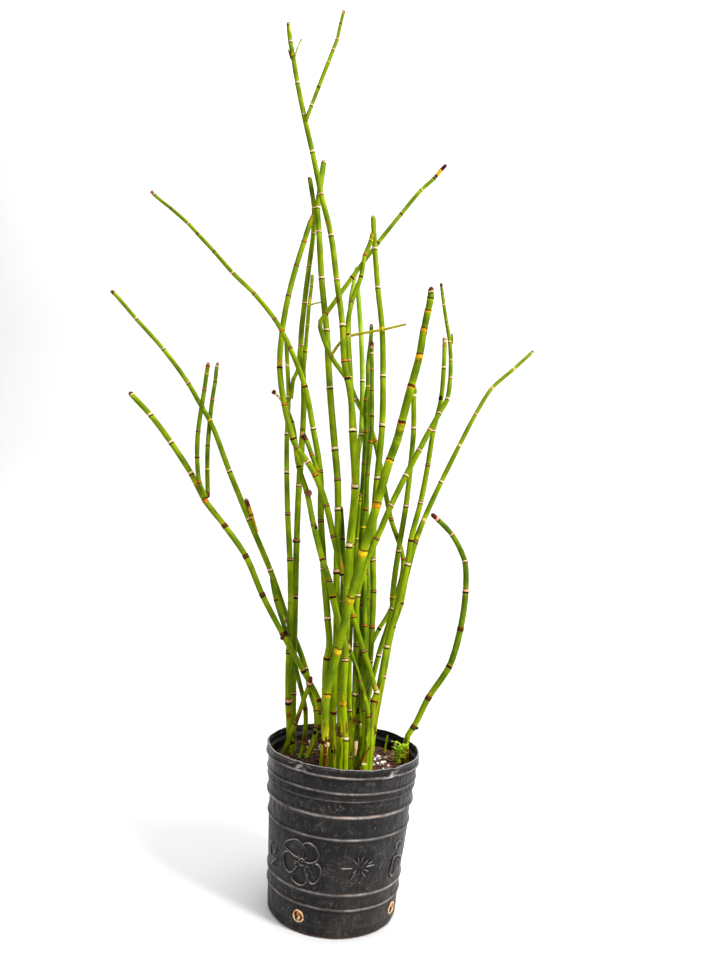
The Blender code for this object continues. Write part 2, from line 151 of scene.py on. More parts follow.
def round_pot(radius: Array, angle: Array, height: Array | float) -> Array:
    """Places round the pot's axis."""
    return np.stack(np.broadcast_arrays(radius * np.sin(angle), -radius * np.cos(angle), height), axis=-1)


def flat_unit(places: Array) -> Array:
    """Level directions from the pot's axis to these places."""
    return unit(places * np.array([1, 1, 0]))


def frames(tangents: Array) -> tuple[Array, Array]:
    """Directions square to a line at each place: one towards the front, and one to the right of it."""
    front = unit(AHEAD - tangents * np.sum(AHEAD * tangents, axis=-1, keepdims=True))
    return front, np.cross(tangents, front)


def outward(tangents: Array, angle: Array) -> Array:
    """Directions away from a line, at each place and angle round it."""
    front, right = frames(tangents)
    return front[:, None] * np.cos(angle)[..., None] + right[:, None] * np.sin(angle)[..., None]


def unrolled(radii: Array, angle: Array, reach: Array) -> Array:
    """Where the points of a round piece lie on it once it is straightened."""
    return np.stack(np.broadcast_arrays(radii * np.cos(angle), radii * np.sin(angle), reach[:, None]), axis=-1)


def grid_faces(rows: int, columns: int, capped: bool = False) -> list[list[int]]:
    """Faces of rings of points, which face outwards where rings go up and points go round to the right.

    Args:
        rows: How many rings there are.
        columns: How many points each has.
        capped: Whether a face closes the first and the last.

    Returns:
        The faces.
    """
    across = np.arange(columns)
    after = (across + 1) % columns
    starts = np.arange(rows - 1)[:, None] * columns
    corners = np.stack([starts + across, starts + after, starts + columns + after, starts + columns + across], axis=-1)
    faces = corners.reshape(-1, 4).tolist()
    if capped:
        faces += [list(range(columns))[::-1], list(range((rows - 1) * columns, rows * columns))]
    return faces


def fans(columns: int, *ends: tuple[int, int, bool]) -> list[list[int]]:
    """Faces that close rings of points round a point in their middle.

    Args:
        columns: How many points each ring has.
        *ends: Middle point, first point and whether it faces up, for each ring.

    Returns:
        The faces.
    """
    faces = []
    for column in range(columns):
        for middle, start, up in ends:
            edge = [start + column, start + (column + 1) % columns]
            faces.append([middle, *(edge if up else edge[::-1])])
    return faces


def painted(tint: Tint, cover: float = 1, shade: float = 1) -> Array:
    """A tint as a paint value, made lighter or darker by shade."""
    return np.array([*(c * shade for c in tint.linear), cover])


def blended(first: Tint, second: Tint, share: Array) -> Array:
    """A mix of two tints, all of the second where share is 1."""
    return np.array(first.linear) * (1 - share) + np.array(second.linear) * share


def lay(paint: Array, tint: Tint, share: Array, cover: float = 1, shade: float = 1) -> None:
    """Lays a tint over a piece's paint.

    Args:
        paint: The paint so far.
        tint: The tint.
        share: How much of it lies at each point.
        cover: How well it covers.
        shade: How light it is.
    """
    new = painted(tint, cover, shade)
    share = share[..., None]
    colour_share = np.where(paint[..., 3:] < 0.02, np.sign(share), share)
    paint[..., :3] += (new[:3] - paint[..., :3]) * colour_share
    paint[..., 3:] += (new[3] - paint[..., 3:]) * share


def placed(name: str, data: bpy.types.ID) -> Object:
    """Puts a mesh, lamp or camera in the scene.

    Args:
        name: The object's name.
        data: What it shows.

    Returns:
        The object.
    """
    made = bpy.data.objects.new(name, data)
    bpy.context.scene.collection.objects.link(made)
    return made


def new_mesh(name: str, points: Array, faces: list[list[int]], material: Material) -> bpy.types.Mesh:
    """Makes a smooth mesh.

    Args:
        name: Its name.
        points: Its points, in millimetres.
        faces: Its faces, as numbers of its points.
        material: Its finish.

    Returns:
        The mesh.
    """
    mesh = bpy.data.meshes.new(name)
    mesh.from_pydata((points * MM).tolist(), [], faces)
    mesh.materials.append(material)
    mesh.polygons.foreach_set("use_smooth", [True] * len(mesh.polygons))
    mesh.update()
    return mesh


class Sketch:
    """Collects points, faces and painted values until they become one piece."""

    LAYERS = {"paint": ("FLOAT_COLOR", "color", 4), "crest": ("FLOAT", "value", 1), "tone": ("FLOAT", "value", 1),
              "skin": ("FLOAT_VECTOR", "vector", 3)}

    def __init__(self) -> None:
        """Starts with nothing drawn."""
        self.points: list[Array] = []
        self.faces: list[list[int]] = []
        self.values: dict[str, list[Array]] = {name: [] for name in self.LAYERS}
        self.count = 0

    def add(
        self, points: Array, faces: list[list[int]], paint: Array, crest: Array | float = 0,
        skin: Array | None = None, tone: Array | float = 0.5,
    ) -> "Sketch":
        """Adds a patch of faces. Its values are one for each point, or one for all.

        Args:
            points: Its points.
            faces: Its faces, as numbers of its own points.
            paint: Colour and cover.
            crest: How far points stand out, from 0 to 1.
            skin: Where points lie once the piece is straightened, for patterns.
            tone: How deep the colour is, from 0 to 1.

        Returns:
            The sketch.
        """
        points = np.reshape(points, (-1, 3))
        amount = len(points)
        self.points.append(points)
        self.faces.extend([[corner + self.count for corner in face] for face in faces])
        self.count += amount
        given = {"paint": paint, "crest": crest, "tone": tone, "skin": points if skin is None else skin}
        for name, (_, _, width) in self.LAYERS.items():
            self.values[name].append(np.broadcast_to(np.reshape(given[name], (-1, width)), (amount, width)))
        return self

    def tube(
        self, centres: Array, radii: Array, sides: int, paint: Array, crest: Array | float = 0,
        lift: Array | float = 0, offset: float = 0, tone: Array | float = 0.5,
    ) -> None:
        """Adds a closed tube along a line.

        Args:
            centres: The line.
            radii: The tube's radius at each place, or at each place and side.
            sides: How many sides it has.
            paint: Colour and cover.
            crest: How far points stand out, from 0 to 1.
            lift: How far points are moved along the line.
            offset: Where the pattern on its surface begins.
            tone: How deep its colour is at each place.
        """
        rows = len(centres)
        tangents = unit(np.gradient(centres, axis=0))
        radii = np.broadcast_to(np.reshape(radii, (rows, -1)), (rows, sides))
        angle = sides_round(sides)
        points = centres[:, None] + outward(tangents, angle) * radii[..., None]
        points = points + tangents[:, None] * np.asarray(lift)[..., None]
        reach = reach_along(centres)
        skin = unrolled(radii, angle, reach + offset).reshape(-1, 3)
        faces = grid_faces(rows, sides)
        faces += fans(sides, (rows * sides, 0, False), (rows * sides + 1, (rows - 1) * sides, True))
        if np.ndim(paint) > 1:
            paint = np.concatenate([paint.reshape(-1, 4), [paint[0, 0], paint[-1, 0]]])
        if np.ndim(crest):
            crest = np.concatenate([np.reshape(crest, -1), [0, 0]])
        if np.ndim(tone):
            tone = np.concatenate([np.repeat(tone, sides), [tone[0], tone[-1]]])
        skin = np.concatenate([skin, [[0, 0, offset], [0, 0, offset + reach[-1]]]])
        self.add(np.concatenate([points.reshape(-1, 3), centres[[0, -1]]]), faces, paint, crest, skin, tone)

    def piece(self, name: str, material: Material, slot: str, node: str = "") -> None:
        """Turns the sketch into a piece that rides with the plant, and reports it.

        Args:
            name: The piece's name.
            material: Its finish.
            slot: The record's slot for that finish; not used.
            node: The frame's node that it stands for, if any.
        """
        mesh = new_mesh(name, np.concatenate(self.points), self.faces, material)
        for layer, (kind, key, _) in self.LAYERS.items():
            values = np.concatenate(self.values[layer]).astype(np.float32).ravel()
            mesh.attributes.new(layer, kind, "POINT").data.foreach_set(key, values)
        piece = placed(name, mesh)
        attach(piece, BODY)
        if node:
            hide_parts(node)
        log.info("%s: %d faces", name, len(self.faces))


class Nodes:
    """Short ways to add and join a material's shader nodes, and the colour that they have mixed so far."""

    def __init__(self, name: str) -> None:
        """Starts a material.

        Args:
            name: Its name.
        """
        self.material = bpy.data.materials.new(name)
        self.material.use_nodes = True
        self.tree = self.material.node_tree
        self.colour: Socket | Colour = Tint.WHITE.linear

    def feed(self, node: bpy.types.Node, inputs: dict) -> bpy.types.Node:
        """Sets a node's inputs.

        Args:
            node: The node.
            inputs: Values or other nodes' outputs, by name or number.

        Returns:
            The same node.
        """
        for key, value in inputs.items():
            if isinstance(value, Socket):
                self.tree.links.new(value, node.inputs[key])
            else:
                node.inputs[key].default_value = value
        return node

    def add(self, kind: str, inputs: dict, **settings: str) -> bpy.types.Node:
        """Adds a node.

        Args:
            kind: Its type.
            inputs: Values or other nodes' outputs, by name or number.
            **settings: Its own settings.

        Returns:
            The node.
        """
        node = self.tree.nodes.new("ShaderNode" + kind)
        for setting, value in settings.items():
            setattr(node, setting, value)
        return self.feed(node, inputs)

    def place(self) -> Socket:
        """Places in the piece's own space, in metres."""
        return self.add("TexCoord", {}).outputs["Object"]

    def attribute(self, name: str, output: str = "Fac") -> Socket:
        """A value that is painted on the piece's points."""
        return self.add("Attribute", {}, attribute_name=name).outputs[output]

    def painting(self) -> tuple[Socket, Socket]:
        """The colour painted on the piece's points, and how well it covers."""
        outputs = self.add("Attribute", {}, attribute_name="paint").outputs
        return outputs["Color"], outputs["Alpha"]

    def grain(
        self, source: Socket, scale: float, detail: float = 3, roughness: float = 0.55, stretch: Colour | None = None
    ) -> Socket:
        """Soft noise between 0 and 1.

        Args:
            source: The coordinates.
            scale: How fine the noise is.
            detail: How many finer layers it has.
            roughness: How strong those are.
            stretch: How much finer it is along each axis.

        Returns:
            The noise's value.
        """
        if stretch:
            source = self.add("Mapping", {"Vector": source, "Scale": stretch}).outputs[0]
        inputs = {"Vector": source, "Scale": scale, "Detail": detail, "Roughness": roughness}
        return self.add("TexNoise", inputs).outputs["Fac"]

    def cells(self, source: Socket, scale: float) -> Socket:
        """Distance to the nearest of many scattered points."""
        return self.add("TexVoronoi", {"Vector": source, "Scale": scale}).outputs["Distance"]

    def between(self, value: Socket, low: float, high: float, start: float = 0, end: float = 1) -> Socket:
        """Start where value is low, end where it is high, and what lies between them for the rest."""
        inputs = {"Value": value, "From Min": low, "From Max": high, "To Min": start, "To Max": end}
        return self.add("MapRange", inputs).outputs[0]

    def math(self, operation: str, first: Socket | float, second: Socket | float) -> Socket:
        """The result of one sum on two values."""
        return self.add("Math", {0: first, 1: second}, operation=operation).outputs[0]

    def mix(self, share: Socket | float, first: Socket | Colour, second: Socket | Colour, blend: str = "MIX") -> Socket:
        """Two colours put together, all of the second where share is 1."""
        first, second = (c if isinstance(c, Socket) else (*c, 1) for c in (first, second))
        return self.add("Mix", {0: share, 6: first, 7: second}, data_type="RGBA", blend_type=blend).outputs[2]

    def cover(self, share: Socket | float, over: Socket | Colour) -> None:
        """Covers the colour so far with another, as thick as share says."""
        self.colour = self.mix(share, self.colour, over)

    def lay(
        self, source: Socket, low: float, high: float, most: float, over: Socket | Colour, least: float = 0
    ) -> None:
        """Covers the colour so far, least where source is low and most where it is high."""
        self.cover(self.between(source, low, high, least, most), over)

    def bump(self, height: Socket, depth: float, below: Socket | None = None) -> Socket:
        """A bump of this depth in millimetres, over a coarser one where there is one below."""
        under = {} if below is None else {"Normal": below}
        return self.add("Bump", {"Height": height, "Strength": 1, "Distance": depth * MM, **under}).outputs[0]

    def finish(self, roughness: Socket | float, normal: Socket, shine: float) -> Material:
        """Joins the colour so far to the shader.

        Args:
            roughness: How dull the surface is.
            normal: Its bumps.
            shine: How strongly it reflects.

        Returns:
            The material.
        """
        looks = {"Base Color": self.colour, "Roughness": roughness, "Normal": normal, "Specular IOR Level": shine}
        self.feed(self.tree.nodes["Principled BSDF"], looks)
        return self.material


class Green(Enum):
    """The greens that the stems come in: dark, middle and light, as everyday 0 to 255 colours."""

    FRESH = ((60, 86, 0), (122, 144, 0), (164, 182, 6))
    DEEP = ((38, 62, 0), (96, 122, 0), (146, 168, 8))
    PALE = ((104, 136, 18), (146, 172, 36), (184, 202, 74))


@dataclass(frozen=True)
class StemFinish:
    """Ridged green skin with streaks, small scars and the painted bands of the joints, with painted shade in its
    grooves and painted light at the foot.
    """

    green: Green
    streak_width: float = 1.3
    blotch_length: float = 26
    ridge_depth: float = 0.05
    roughness: float = 0.5

    def material(self) -> Material:
        """Makes the finish.

        Returns:
            The material.
        """
        nodes = Nodes("stem_" + self.green.name.lower())
        skin = nodes.attribute("skin", "Vector")
        dark, middle, nodes.colour = (tuple(map(light_of, value)) for value in self.green.value)
        streaks = nodes.grain(skin, 1 / self.streak_width, 2, stretch=(1, 1, 0.05))
        blotches = nodes.grain(skin, 1 / self.blotch_length, 4, stretch=(1.6, 1.6, 1))
        depth = nodes.math("ADD", nodes.attribute("tone"), nodes.between(blotches, 0.3, 0.7, -0.45, 0.45))
        nodes.lay(depth, 0, 0.6, 1, middle)
        nodes.lay(depth, 0.55, 1.25, 0.85, dark)
        # Painted light: where the tone sinks below 0, mostly at the foot, the green turns lime
        nodes.lay(depth, -0.1, -0.9, 0.75, T.LIME.linear)
        nodes.lay(streaks, 0.66, 0.38, 0.4, dark)
        # Painted shade: the grooves between the ridges are mixed towards the dark green
        nodes.lay(nodes.attribute("crest"), 0, 1, 0, dark, least=0.28)
        nodes.lay(nodes.grain(skin, 0.42, 4, 0.7, (1, 1, 0.35)), 0.70, 0.76, 0.75, T.BROWN.linear)
        nodes.lay(nodes.grain(skin, 0.9, 2), 0.68, 0.78, 0.35, T.CREAM.linear)
        paint, cover = nodes.painting()
        stain = nodes.grain(skin, 0.9, 3, 0.65, (1, 1, 0.6))
        band = nodes.mix(nodes.between(stain, 0.48, 0.66, 0, 0.5), paint, T.DARK.linear)
        flecks = nodes.mix(1, paint, (1.7, 1.6, 1.4), "MULTIPLY")
        band = nodes.mix(nodes.between(stain, 0.42, 0.34, 0, 0.6), band, flecks)
        nodes.cover(cover, band)
        knobs = nodes.grain(skin, 2.2, 2, stretch=(1, 1, 1.6))
        normal = nodes.bump(nodes.math("ADD", knobs, nodes.math("MULTIPLY", streaks, 0.6)), self.ridge_depth)
        return nodes.finish(nodes.between(stain, 0.3, 0.7, self.roughness - 0.08, self.roughness + 0.16), normal, 0.05)


@dataclass(frozen=True)
class PotFinish:
    """Recycled black plastic, dusty and scratched. Its crests turn pale, partly from abrasion and partly as a painted
    highlight, and its paint adds painted shadows, pale streaks and a brown foot.
    """

    deep: Colour = (0.004, 0.004, 0.005)
    base: Colour = (0.005, 0.0045, 0.0046)
    dust: Colour = (0.04, 0.036, 0.035)
    warm: Colour = (0.036, 0.024, 0.018)
    sheen_and_abrasion: Colour = (0.5, 0.45, 0.42)
    wisp: Colour = (0.15, 0.13, 0.12)
    speck: Colour = (0.3, 0.19, 0.12)
    wisps: tuple[Colour, ...] = ((34, 0.006, 0.5), (60, 0.01, 0.6), (120, 0.016, 0.6), (210, 0.02, 0.4))

    def material(self) -> Material:
        """Makes the finish. Each of wisps is the scale, width and cover of some pale curved hairlines.

        Returns:
            The material.
        """
        nodes = Nodes("pot_plastic")
        place = nodes.place()
        nodes.colour = self.base
        clouds = nodes.grain(place, 24, 8, 0.68)
        nodes.lay(clouds, 0.47, 0.66, 0.5, self.dust)
        nodes.lay(nodes.grain(place, 41, 5, 0.6), 0.52, 0.36, 0.8, self.deep)
        smears = nodes.grain(place, 1, 6, 0.7, (105, 105, 62))
        nodes.lay(smears, 0.56, 0.68, 0.4, self.dust)
        nodes.lay(nodes.grain(place, 9), 0.50, 0.66, 0.45, self.warm)
        nodes.lay(nodes.grain(place, 1, 4, 0.62, (260, 260, 14)), 0.54, 0.76, 0.4, self.dust)
        for scale, width, share in self.wisps:
            field = nodes.math("SUBTRACT", nodes.grain(place, scale, 3, 0.5), 0.5)
            thin = nodes.between(nodes.math("ABSOLUTE", field, 0), width, 0)
            patch = nodes.between(nodes.grain(place, scale * 0.8, 2), 0.52, 0.62, 0, share)
            nodes.cover(nodes.math("MULTIPLY", thin, patch), self.wisp)
        specks = nodes.between(nodes.cells(place, 150), 0.12, 0.06)
        chosen = nodes.between(nodes.grain(place, 60, 1), 0.5, 0.58)
        nodes.cover(nodes.math("MULTIPLY", nodes.math("MULTIPLY", specks, chosen), 0.8), self.speck)
        # Painted highlight and abrasion: the crests' pale colour along the ribs, the rim and the ornaments
        abrasion_and_sheen_patches = nodes.between(smears, 0.34, 0.6, 0.35, 1)
        nodes.cover(nodes.math("MULTIPLY", nodes.attribute("crest"), abrasion_and_sheen_patches), self.sheen_and_abrasion)
        # The painted colour brings the painted shadows, the pale streaks and painted glints, and the brown foot
        painted_patches = nodes.between(smears, 0.36, 0.58, 0.4, 1)
        paint, cover = nodes.painting()
        nodes.cover(nodes.math("MULTIPLY", cover, painted_patches), paint)
        normal = nodes.bump(nodes.grain(place, 1, stretch=(90, 90, 55)), 2.2)
        normal = nodes.bump(nodes.grain(place, 1, 4, 0.6, (230, 230, 160)), 0.8, normal)
        normal = nodes.bump(nodes.grain(place, 900, 3, 0.6), 0.1, normal)
        return nodes.finish(nodes.between(clouds, 0.35, 0.65, 0.30, 0.52), normal, 0.18)


@dataclass(frozen=True)
class CrumbFinish:
    """Loose matter such as soil, bark, grains and roots, in its painted colour, with painted shade in the hollows of
    its bumps.
    """

    name: str
    fineness: float
    depth: float
    roughness: float = 0.9
    contrast: float = 0.55
    shine: float = 0.2

    def material(self) -> Material:
        """Makes the finish.

        Returns:
            The material.
        """
        nodes = Nodes(self.name)
        place = nodes.place()
        paint = nodes.colour = nodes.attribute("paint", "Color")
        clods = nodes.grain(place, self.fineness, 5, 0.65)
        # Painted shade: darker where the clods' bump is low
        nodes.lay(clods, 0.62, 0.32, self.contrast, T.BLACK.linear)
        light = nodes.mix(1, paint, (2.1, 2, 1.9), "MULTIPLY")
        nodes.lay(nodes.cells(place, self.fineness * 3.2), 0.22, 0.08, 0.6, light)
        fine = nodes.grain(place, self.fineness * 6, 3, 0.6)
        normal = nodes.bump(nodes.math("ADD", clods, nodes.math("MULTIPLY", fine, 0.4)), self.depth)
        return nodes.finish(nodes.between(clods, 0.3, 0.7, self.roughness, self.roughness - 0.12), normal, self.shine)


@dataclass(frozen=True)
class LeafFinish:
    """Thin bright seedling leaves, paler along their veins."""

    roughness: float = 0.42

    def material(self) -> Material:
        """Makes the finish.

        Returns:
            The material.
        """
        nodes = Nodes("seedling_leaf")
        place = nodes.place()
        patches = nodes.grain(place, 260)
        nodes.colour = nodes.attribute("paint", "Color")
        nodes.lay(patches, 0.46, 0.7, 0.35, T.SHADED_LEAF.linear)
        nodes.lay(nodes.attribute("crest"), 0.5, 1, 0.45, T.LIME.linear)
        normal = nodes.bump(nodes.grain(place, 900, 2), 0.1)
        return nodes.finish(nodes.between(patches, 0.3, 0.7, self.roughness, self.roughness + 0.15), normal, 0.2)


@dataclass(frozen=True)
class Band:
    """How a joint is coloured: a line at its foot, a cup over that and the cup's edge.

    Heights fit a stem 6.6 mm thick and shrink or grow with it. sag is how far the cup hangs down at the
    front and at the back, flare how much it widens, and fade how softly its foot ends.
    """

    line: Tint
    cup: Tint
    edge: Tint
    line_height: float
    cup_height: float
    edge_height: float
    sag: float = 0
    flare: float = 1
    cover: float = 1
    fade: float = 0.25


class Joint(Enum):
    """The kinds of joint seen on the stems, and BEND for a bend that has none."""

    CREAM = Band(T.BLACK, T.CREAM, T.BROWN, 2, 2.9, 1)
    BIG = Band(T.BLACK, T.CREAM, T.BROWN, 2.3, 3.7, 1, 0, 1.5)
    BIG_PINK = Band(T.BLACK, T.PINK, T.BROWN, 3, 3, 1.2, 0, 1.6)
    PALE = Band(T.TAN, T.CREAM, T.STRAW, 0.9, 2.8, 0.5)
    PINK = Band(T.RED, T.SHELL, T.BROWN, 1.9, 1.9, 1)
    BROWN = Band(T.BLACK, T.TAN, T.DARK, 1.9, 1.4, 1.1)
    DARK = Band(T.BLACK, T.DARK, T.ORANGE, 1.8, 1.7, 0.7)
    ORANGE = Band(T.DARK, T.ORANGE, T.RED, 1.8, 2.2, 0.9)
    YELLOW = Band(T.DARK, T.YELLOW, T.ORANGE, 1.4, 2.6, 0.6)
    RED = Band(T.BLACK, T.RED, T.ORANGE, 1.6, 1.8, 0.6)
    FAINT = Band(T.MOSS, T.MOSS, T.BROWN, 0.8, 1.2, 0.6, 0, 0.5, 0.6)
    THIN = Band(T.OLIVE, T.UMBER, T.UMBER, 1, 0.9, 0.7, 0, 0.4, 1, 0.5)
    AMBER = Band(T.ORANGE, T.AMBER, T.BROWN, 1, 1.6, 1.3, 2, 0.7, 1, 0.4)
    GOLDEN = Band(T.ORANGE, T.YELLOW, T.BROWN, 1, 1.6, 1.3, 2, 0.7, 1, 0.4)
    SHORT_AMBER = Band(T.OLIVE, T.AMBER, T.UMBER, 0.8, 1, 1.3, 0.5, 0.6, 1, 0.7)
    FRAMED = Band(T.OLIVE, T.AMBER, T.UMBER, 1.5, 2, 1.5, 1.2, 0.6, 0.95, 1)
    RUST = Band(T.GOLD, T.RUST, T.BROWN, 0.8, 1.6, 0.9, 0.3, 0.5, 1, 0.4)
    RUST_DARK = Band(T.ORANGE, T.BROWN, T.UMBER, 0.8, 1.5, 0.9, 0.2, 0.5, 1, 0.4)
    KNOT = Band(T.DARK, T.TAN, T.BROWN, 2.6, 2.4, 2.4, 0, 5.5)
    SCAB = Band(T.DARK, T.BROWN, T.RED, 2.3, 3.2, 0.9, 0, 1.2, 0.95, 0.5)
    BEND = None


class Tip(Enum):
    """Colours at a stem's end, as (length, tint) bands from its point down."""

    BROWN = ((4.5, T.BROWN), (1.6, T.CREAM), (1.6, T.DARK))
    DOME = ((4.6, T.BROWN), (1.5, T.STRAW), (1.2, T.UMBER))
    HEAD = ((3, T.TAN), (6, T.DARK), (3, T.TAN), (3, T.BROWN))
    PLUM = ((4, T.PINK), (10, T.BROWN), (4, T.RED))
    PINK = ((3, T.PINK), (3, T.BROWN), (2, T.CREAM))
    CREAM = ((2.5, T.BROWN), (2.6, T.TAN), (2.4, T.DARK))
    RED = ((2, T.RED), (2.6, T.CREAM), (1.6, T.DARK))
    YELLOW = ((2.5, T.BROWN), (9, T.OLIVE))
    LONG_BROWN = ((12, T.BROWN), (2, T.STRAW), (2, T.DARK))
    SHORT_BROWN = ((4, T.BROWN), (3, T.OLIVE))
    WITHERED = ((5, T.RED), (13, T.DARK), (15, T.GOLD), (6, T.DARK))
    SCALED = ((5, T.STRAW), (4, T.PLUM), (1.3, T.SHELL), (4, T.PLUM), (7, T.OLIVE))
    DRIED_BUD = ((7, T.BROWN), (4, T.RED), (4.5, T.PINK), (2.5, T.DARK))
    DARK = ((3, T.DARK), (2, T.PINK), (5, T.RED), (1.5, T.BLACK))
    GREEN = ((0.6, T.BROWN),)


@dataclass(frozen=True)
class Mark:
    """A patch of colour on a stem, centred at a height over the ground and at a turn round the stem."""

    height: float
    tint: Tint
    length: float
    turn: float = 0
    spread: float = 50


@dataclass(frozen=True)
class Bud:
    """A scaly bud that grows from a stem at a height over the ground."""

    height: float
    turn: float
    size: float
    tint: Tint = T.BROWN
    tilt: float = 0.8
    sides: int = 10
    shares: Row = (0, 0.12, 0.26, 0.3, 0.44, 0.58, 0.62, 0.76, 0.9, 1)
    fullness: Row = (0.7, 0.98, 1.1, 0.96, 1.06, 1, 0.86, 0.8, 0.55, 0.15)
    shades: Row = (0.8, 0.8, 1.5, 0.8, 0.8, 1.5, 0.8, 0.8, 0.8, 0.8)


@dataclass(frozen=True)
class Sprig:
    """A short thin shoot that leaves a stem at a height, by way of points given from there."""

    height: float
    path: tuple[tuple[float, float, float], ...]
    width: float
    tint: Tint
    end: Tint = T.BROWN
    sides: int = 8


@dataclass(frozen=True)
class Line:
    """A centre line through its places, soft where it bends little and kinked where it bends much."""

    places: Array
    soft_turn: float = 12
    kink_turn: float = 40

    @property
    def reach(self) -> Array:
        """How far along each place is."""
        return reach_along(self.places)

    def at(self, distances: Array) -> Array:
        """Places along the line.

        Args:
            distances: How far along they are, also beyond its ends.

        Returns:
            The places.
        """
        reach = self.reach
        lengths = np.diff(reach)
        straight = np.diff(self.places, axis=0) / lengths[:, None]
        arriving, leaving = straight.copy(), straight.copy()
        if len(straight) > 1:
            middle = unit(straight[:-1] + straight[1:])
            cosine = np.clip(np.sum(straight[:-1] * straight[1:], axis=1), -1, 1)
            kink = ease(self.soft_turn, self.kink_turn, np.degrees(np.arccos(cosine)))[:, None]
            arriving[:-1] = unit(middle * (1 - kink) + straight[:-1] * kink)
            leaving[1:] = unit(middle * (1 - kink) + straight[1:] * kink)
        held = np.clip(distances, 0, reach[-1])
        part = np.clip(np.searchsorted(reach, held, side="right") - 1, 0, len(lengths) - 1)
        length = lengths[part][:, None]
        t = (held - reach[part])[:, None] / length
        places = (
            (2 * t**3 - 3 * t**2 + 1) * self.places[part]
            + (t**3 - 2 * t**2 + t) * length * leaving[part]
            + (3 * t**2 - 2 * t**3) * self.places[part + 1]
            + (t**3 - t**2) * length * arriving[part]
        )
        beyond = (distances - held)[:, None]
        return places + beyond * np.where(beyond < 0, leaving[0], arriving[-1])

    def tangent(self, distance: float, window: float = 2) -> Array:
        """The line's direction at one distance, evened out over a window each way, as a row."""
        return unit(self.at(np.array([distance + window])) - self.at(np.array([distance - window])))

    def distance_at(self, height: float) -> float:
        """How far along the line it first reaches a height over the ground."""
        distances = np.linspace(0, self.reach[-1], 600)
        return float(distances[np.argmax(self.at(distances)[:, 2] >= height)])


def rings_of(node: Object) -> list[tuple[Array, float]]:
    """Centre and radius of each ring of a rod of the frame, from its foot to its tip.

    Args:
        node: The rod, which is only read.

    Returns:
        (centre, radius) pairs, in millimetres.
    """
    shape = bmesh.new()
    shape.from_mesh(node.data)
    bmesh.ops.remove_doubles(shape, verts=shape.verts, dist=WELD)
    lowest = min(shape.verts, key=lambda v: v.co.z)
    for sides in (4, 6):
        ring = set(sorted(shape.verts, key=lambda v: (v.co - lowest.co).length)[:sides])
        rings, seen = [], set()
        while ring:
            rings.append(ring)
            seen |= ring
            ring = {edge.other_vert(v) for v in ring for edge in v.link_edges} - seen
        if all(len(ring) == sides for ring in rings):
            break
    found = []
    for ring in rings:
        corners = np.array([v.co for v in ring]) / MM
        centre = corners.mean(axis=0)
        found.append((centre, float(np.linalg.norm(corners - centre, axis=1).mean())))
    shape.free()
    return found


@dataclass(frozen=True)
class Stem:
    """One stem, fork or twig, whose node of the frame gives its line and its thickness.

    joints names its joints and bends from the tip down to the soil. girth says how much thicker the skin is than
    the node, from the foot to the tip. depth says how much deeper its green is halfway between joints, bulb how
    much its foot swells, and radii are its own at the foot and the tip where the node's don't fit. end_widths say
    how its tip narrows, end_places from its point. hidden_start is how deep a shoot begins inside what bears it.
    """

    node: str
    joints: str
    tip: Tip = Tip.BROWN
    green: Green = Green.FRESH
    coat: Tint | None = None
    marks: tuple[Mark, ...] = ()
    buds: tuple[Bud, ...] = ()
    sprigs: tuple[Sprig, ...] = ()
    ridges: int = 12
    girth: Row = (0.9, 1.3, 1.28)
    rooted: bool = True
    ridge_height: float = 0.14
    hidden_start: float = 4.5
    depth: float = 0.4
    bulb: float = 0
    radii: tuple[float, float] | None = None
    end_places: Row = (0, 0.5, 1.2, 2.2, 3.6, 5.5, 8)
    end_widths: Row = (0.2, 0.46, 0.66, 0.8, 0.9, 0.96, 1)


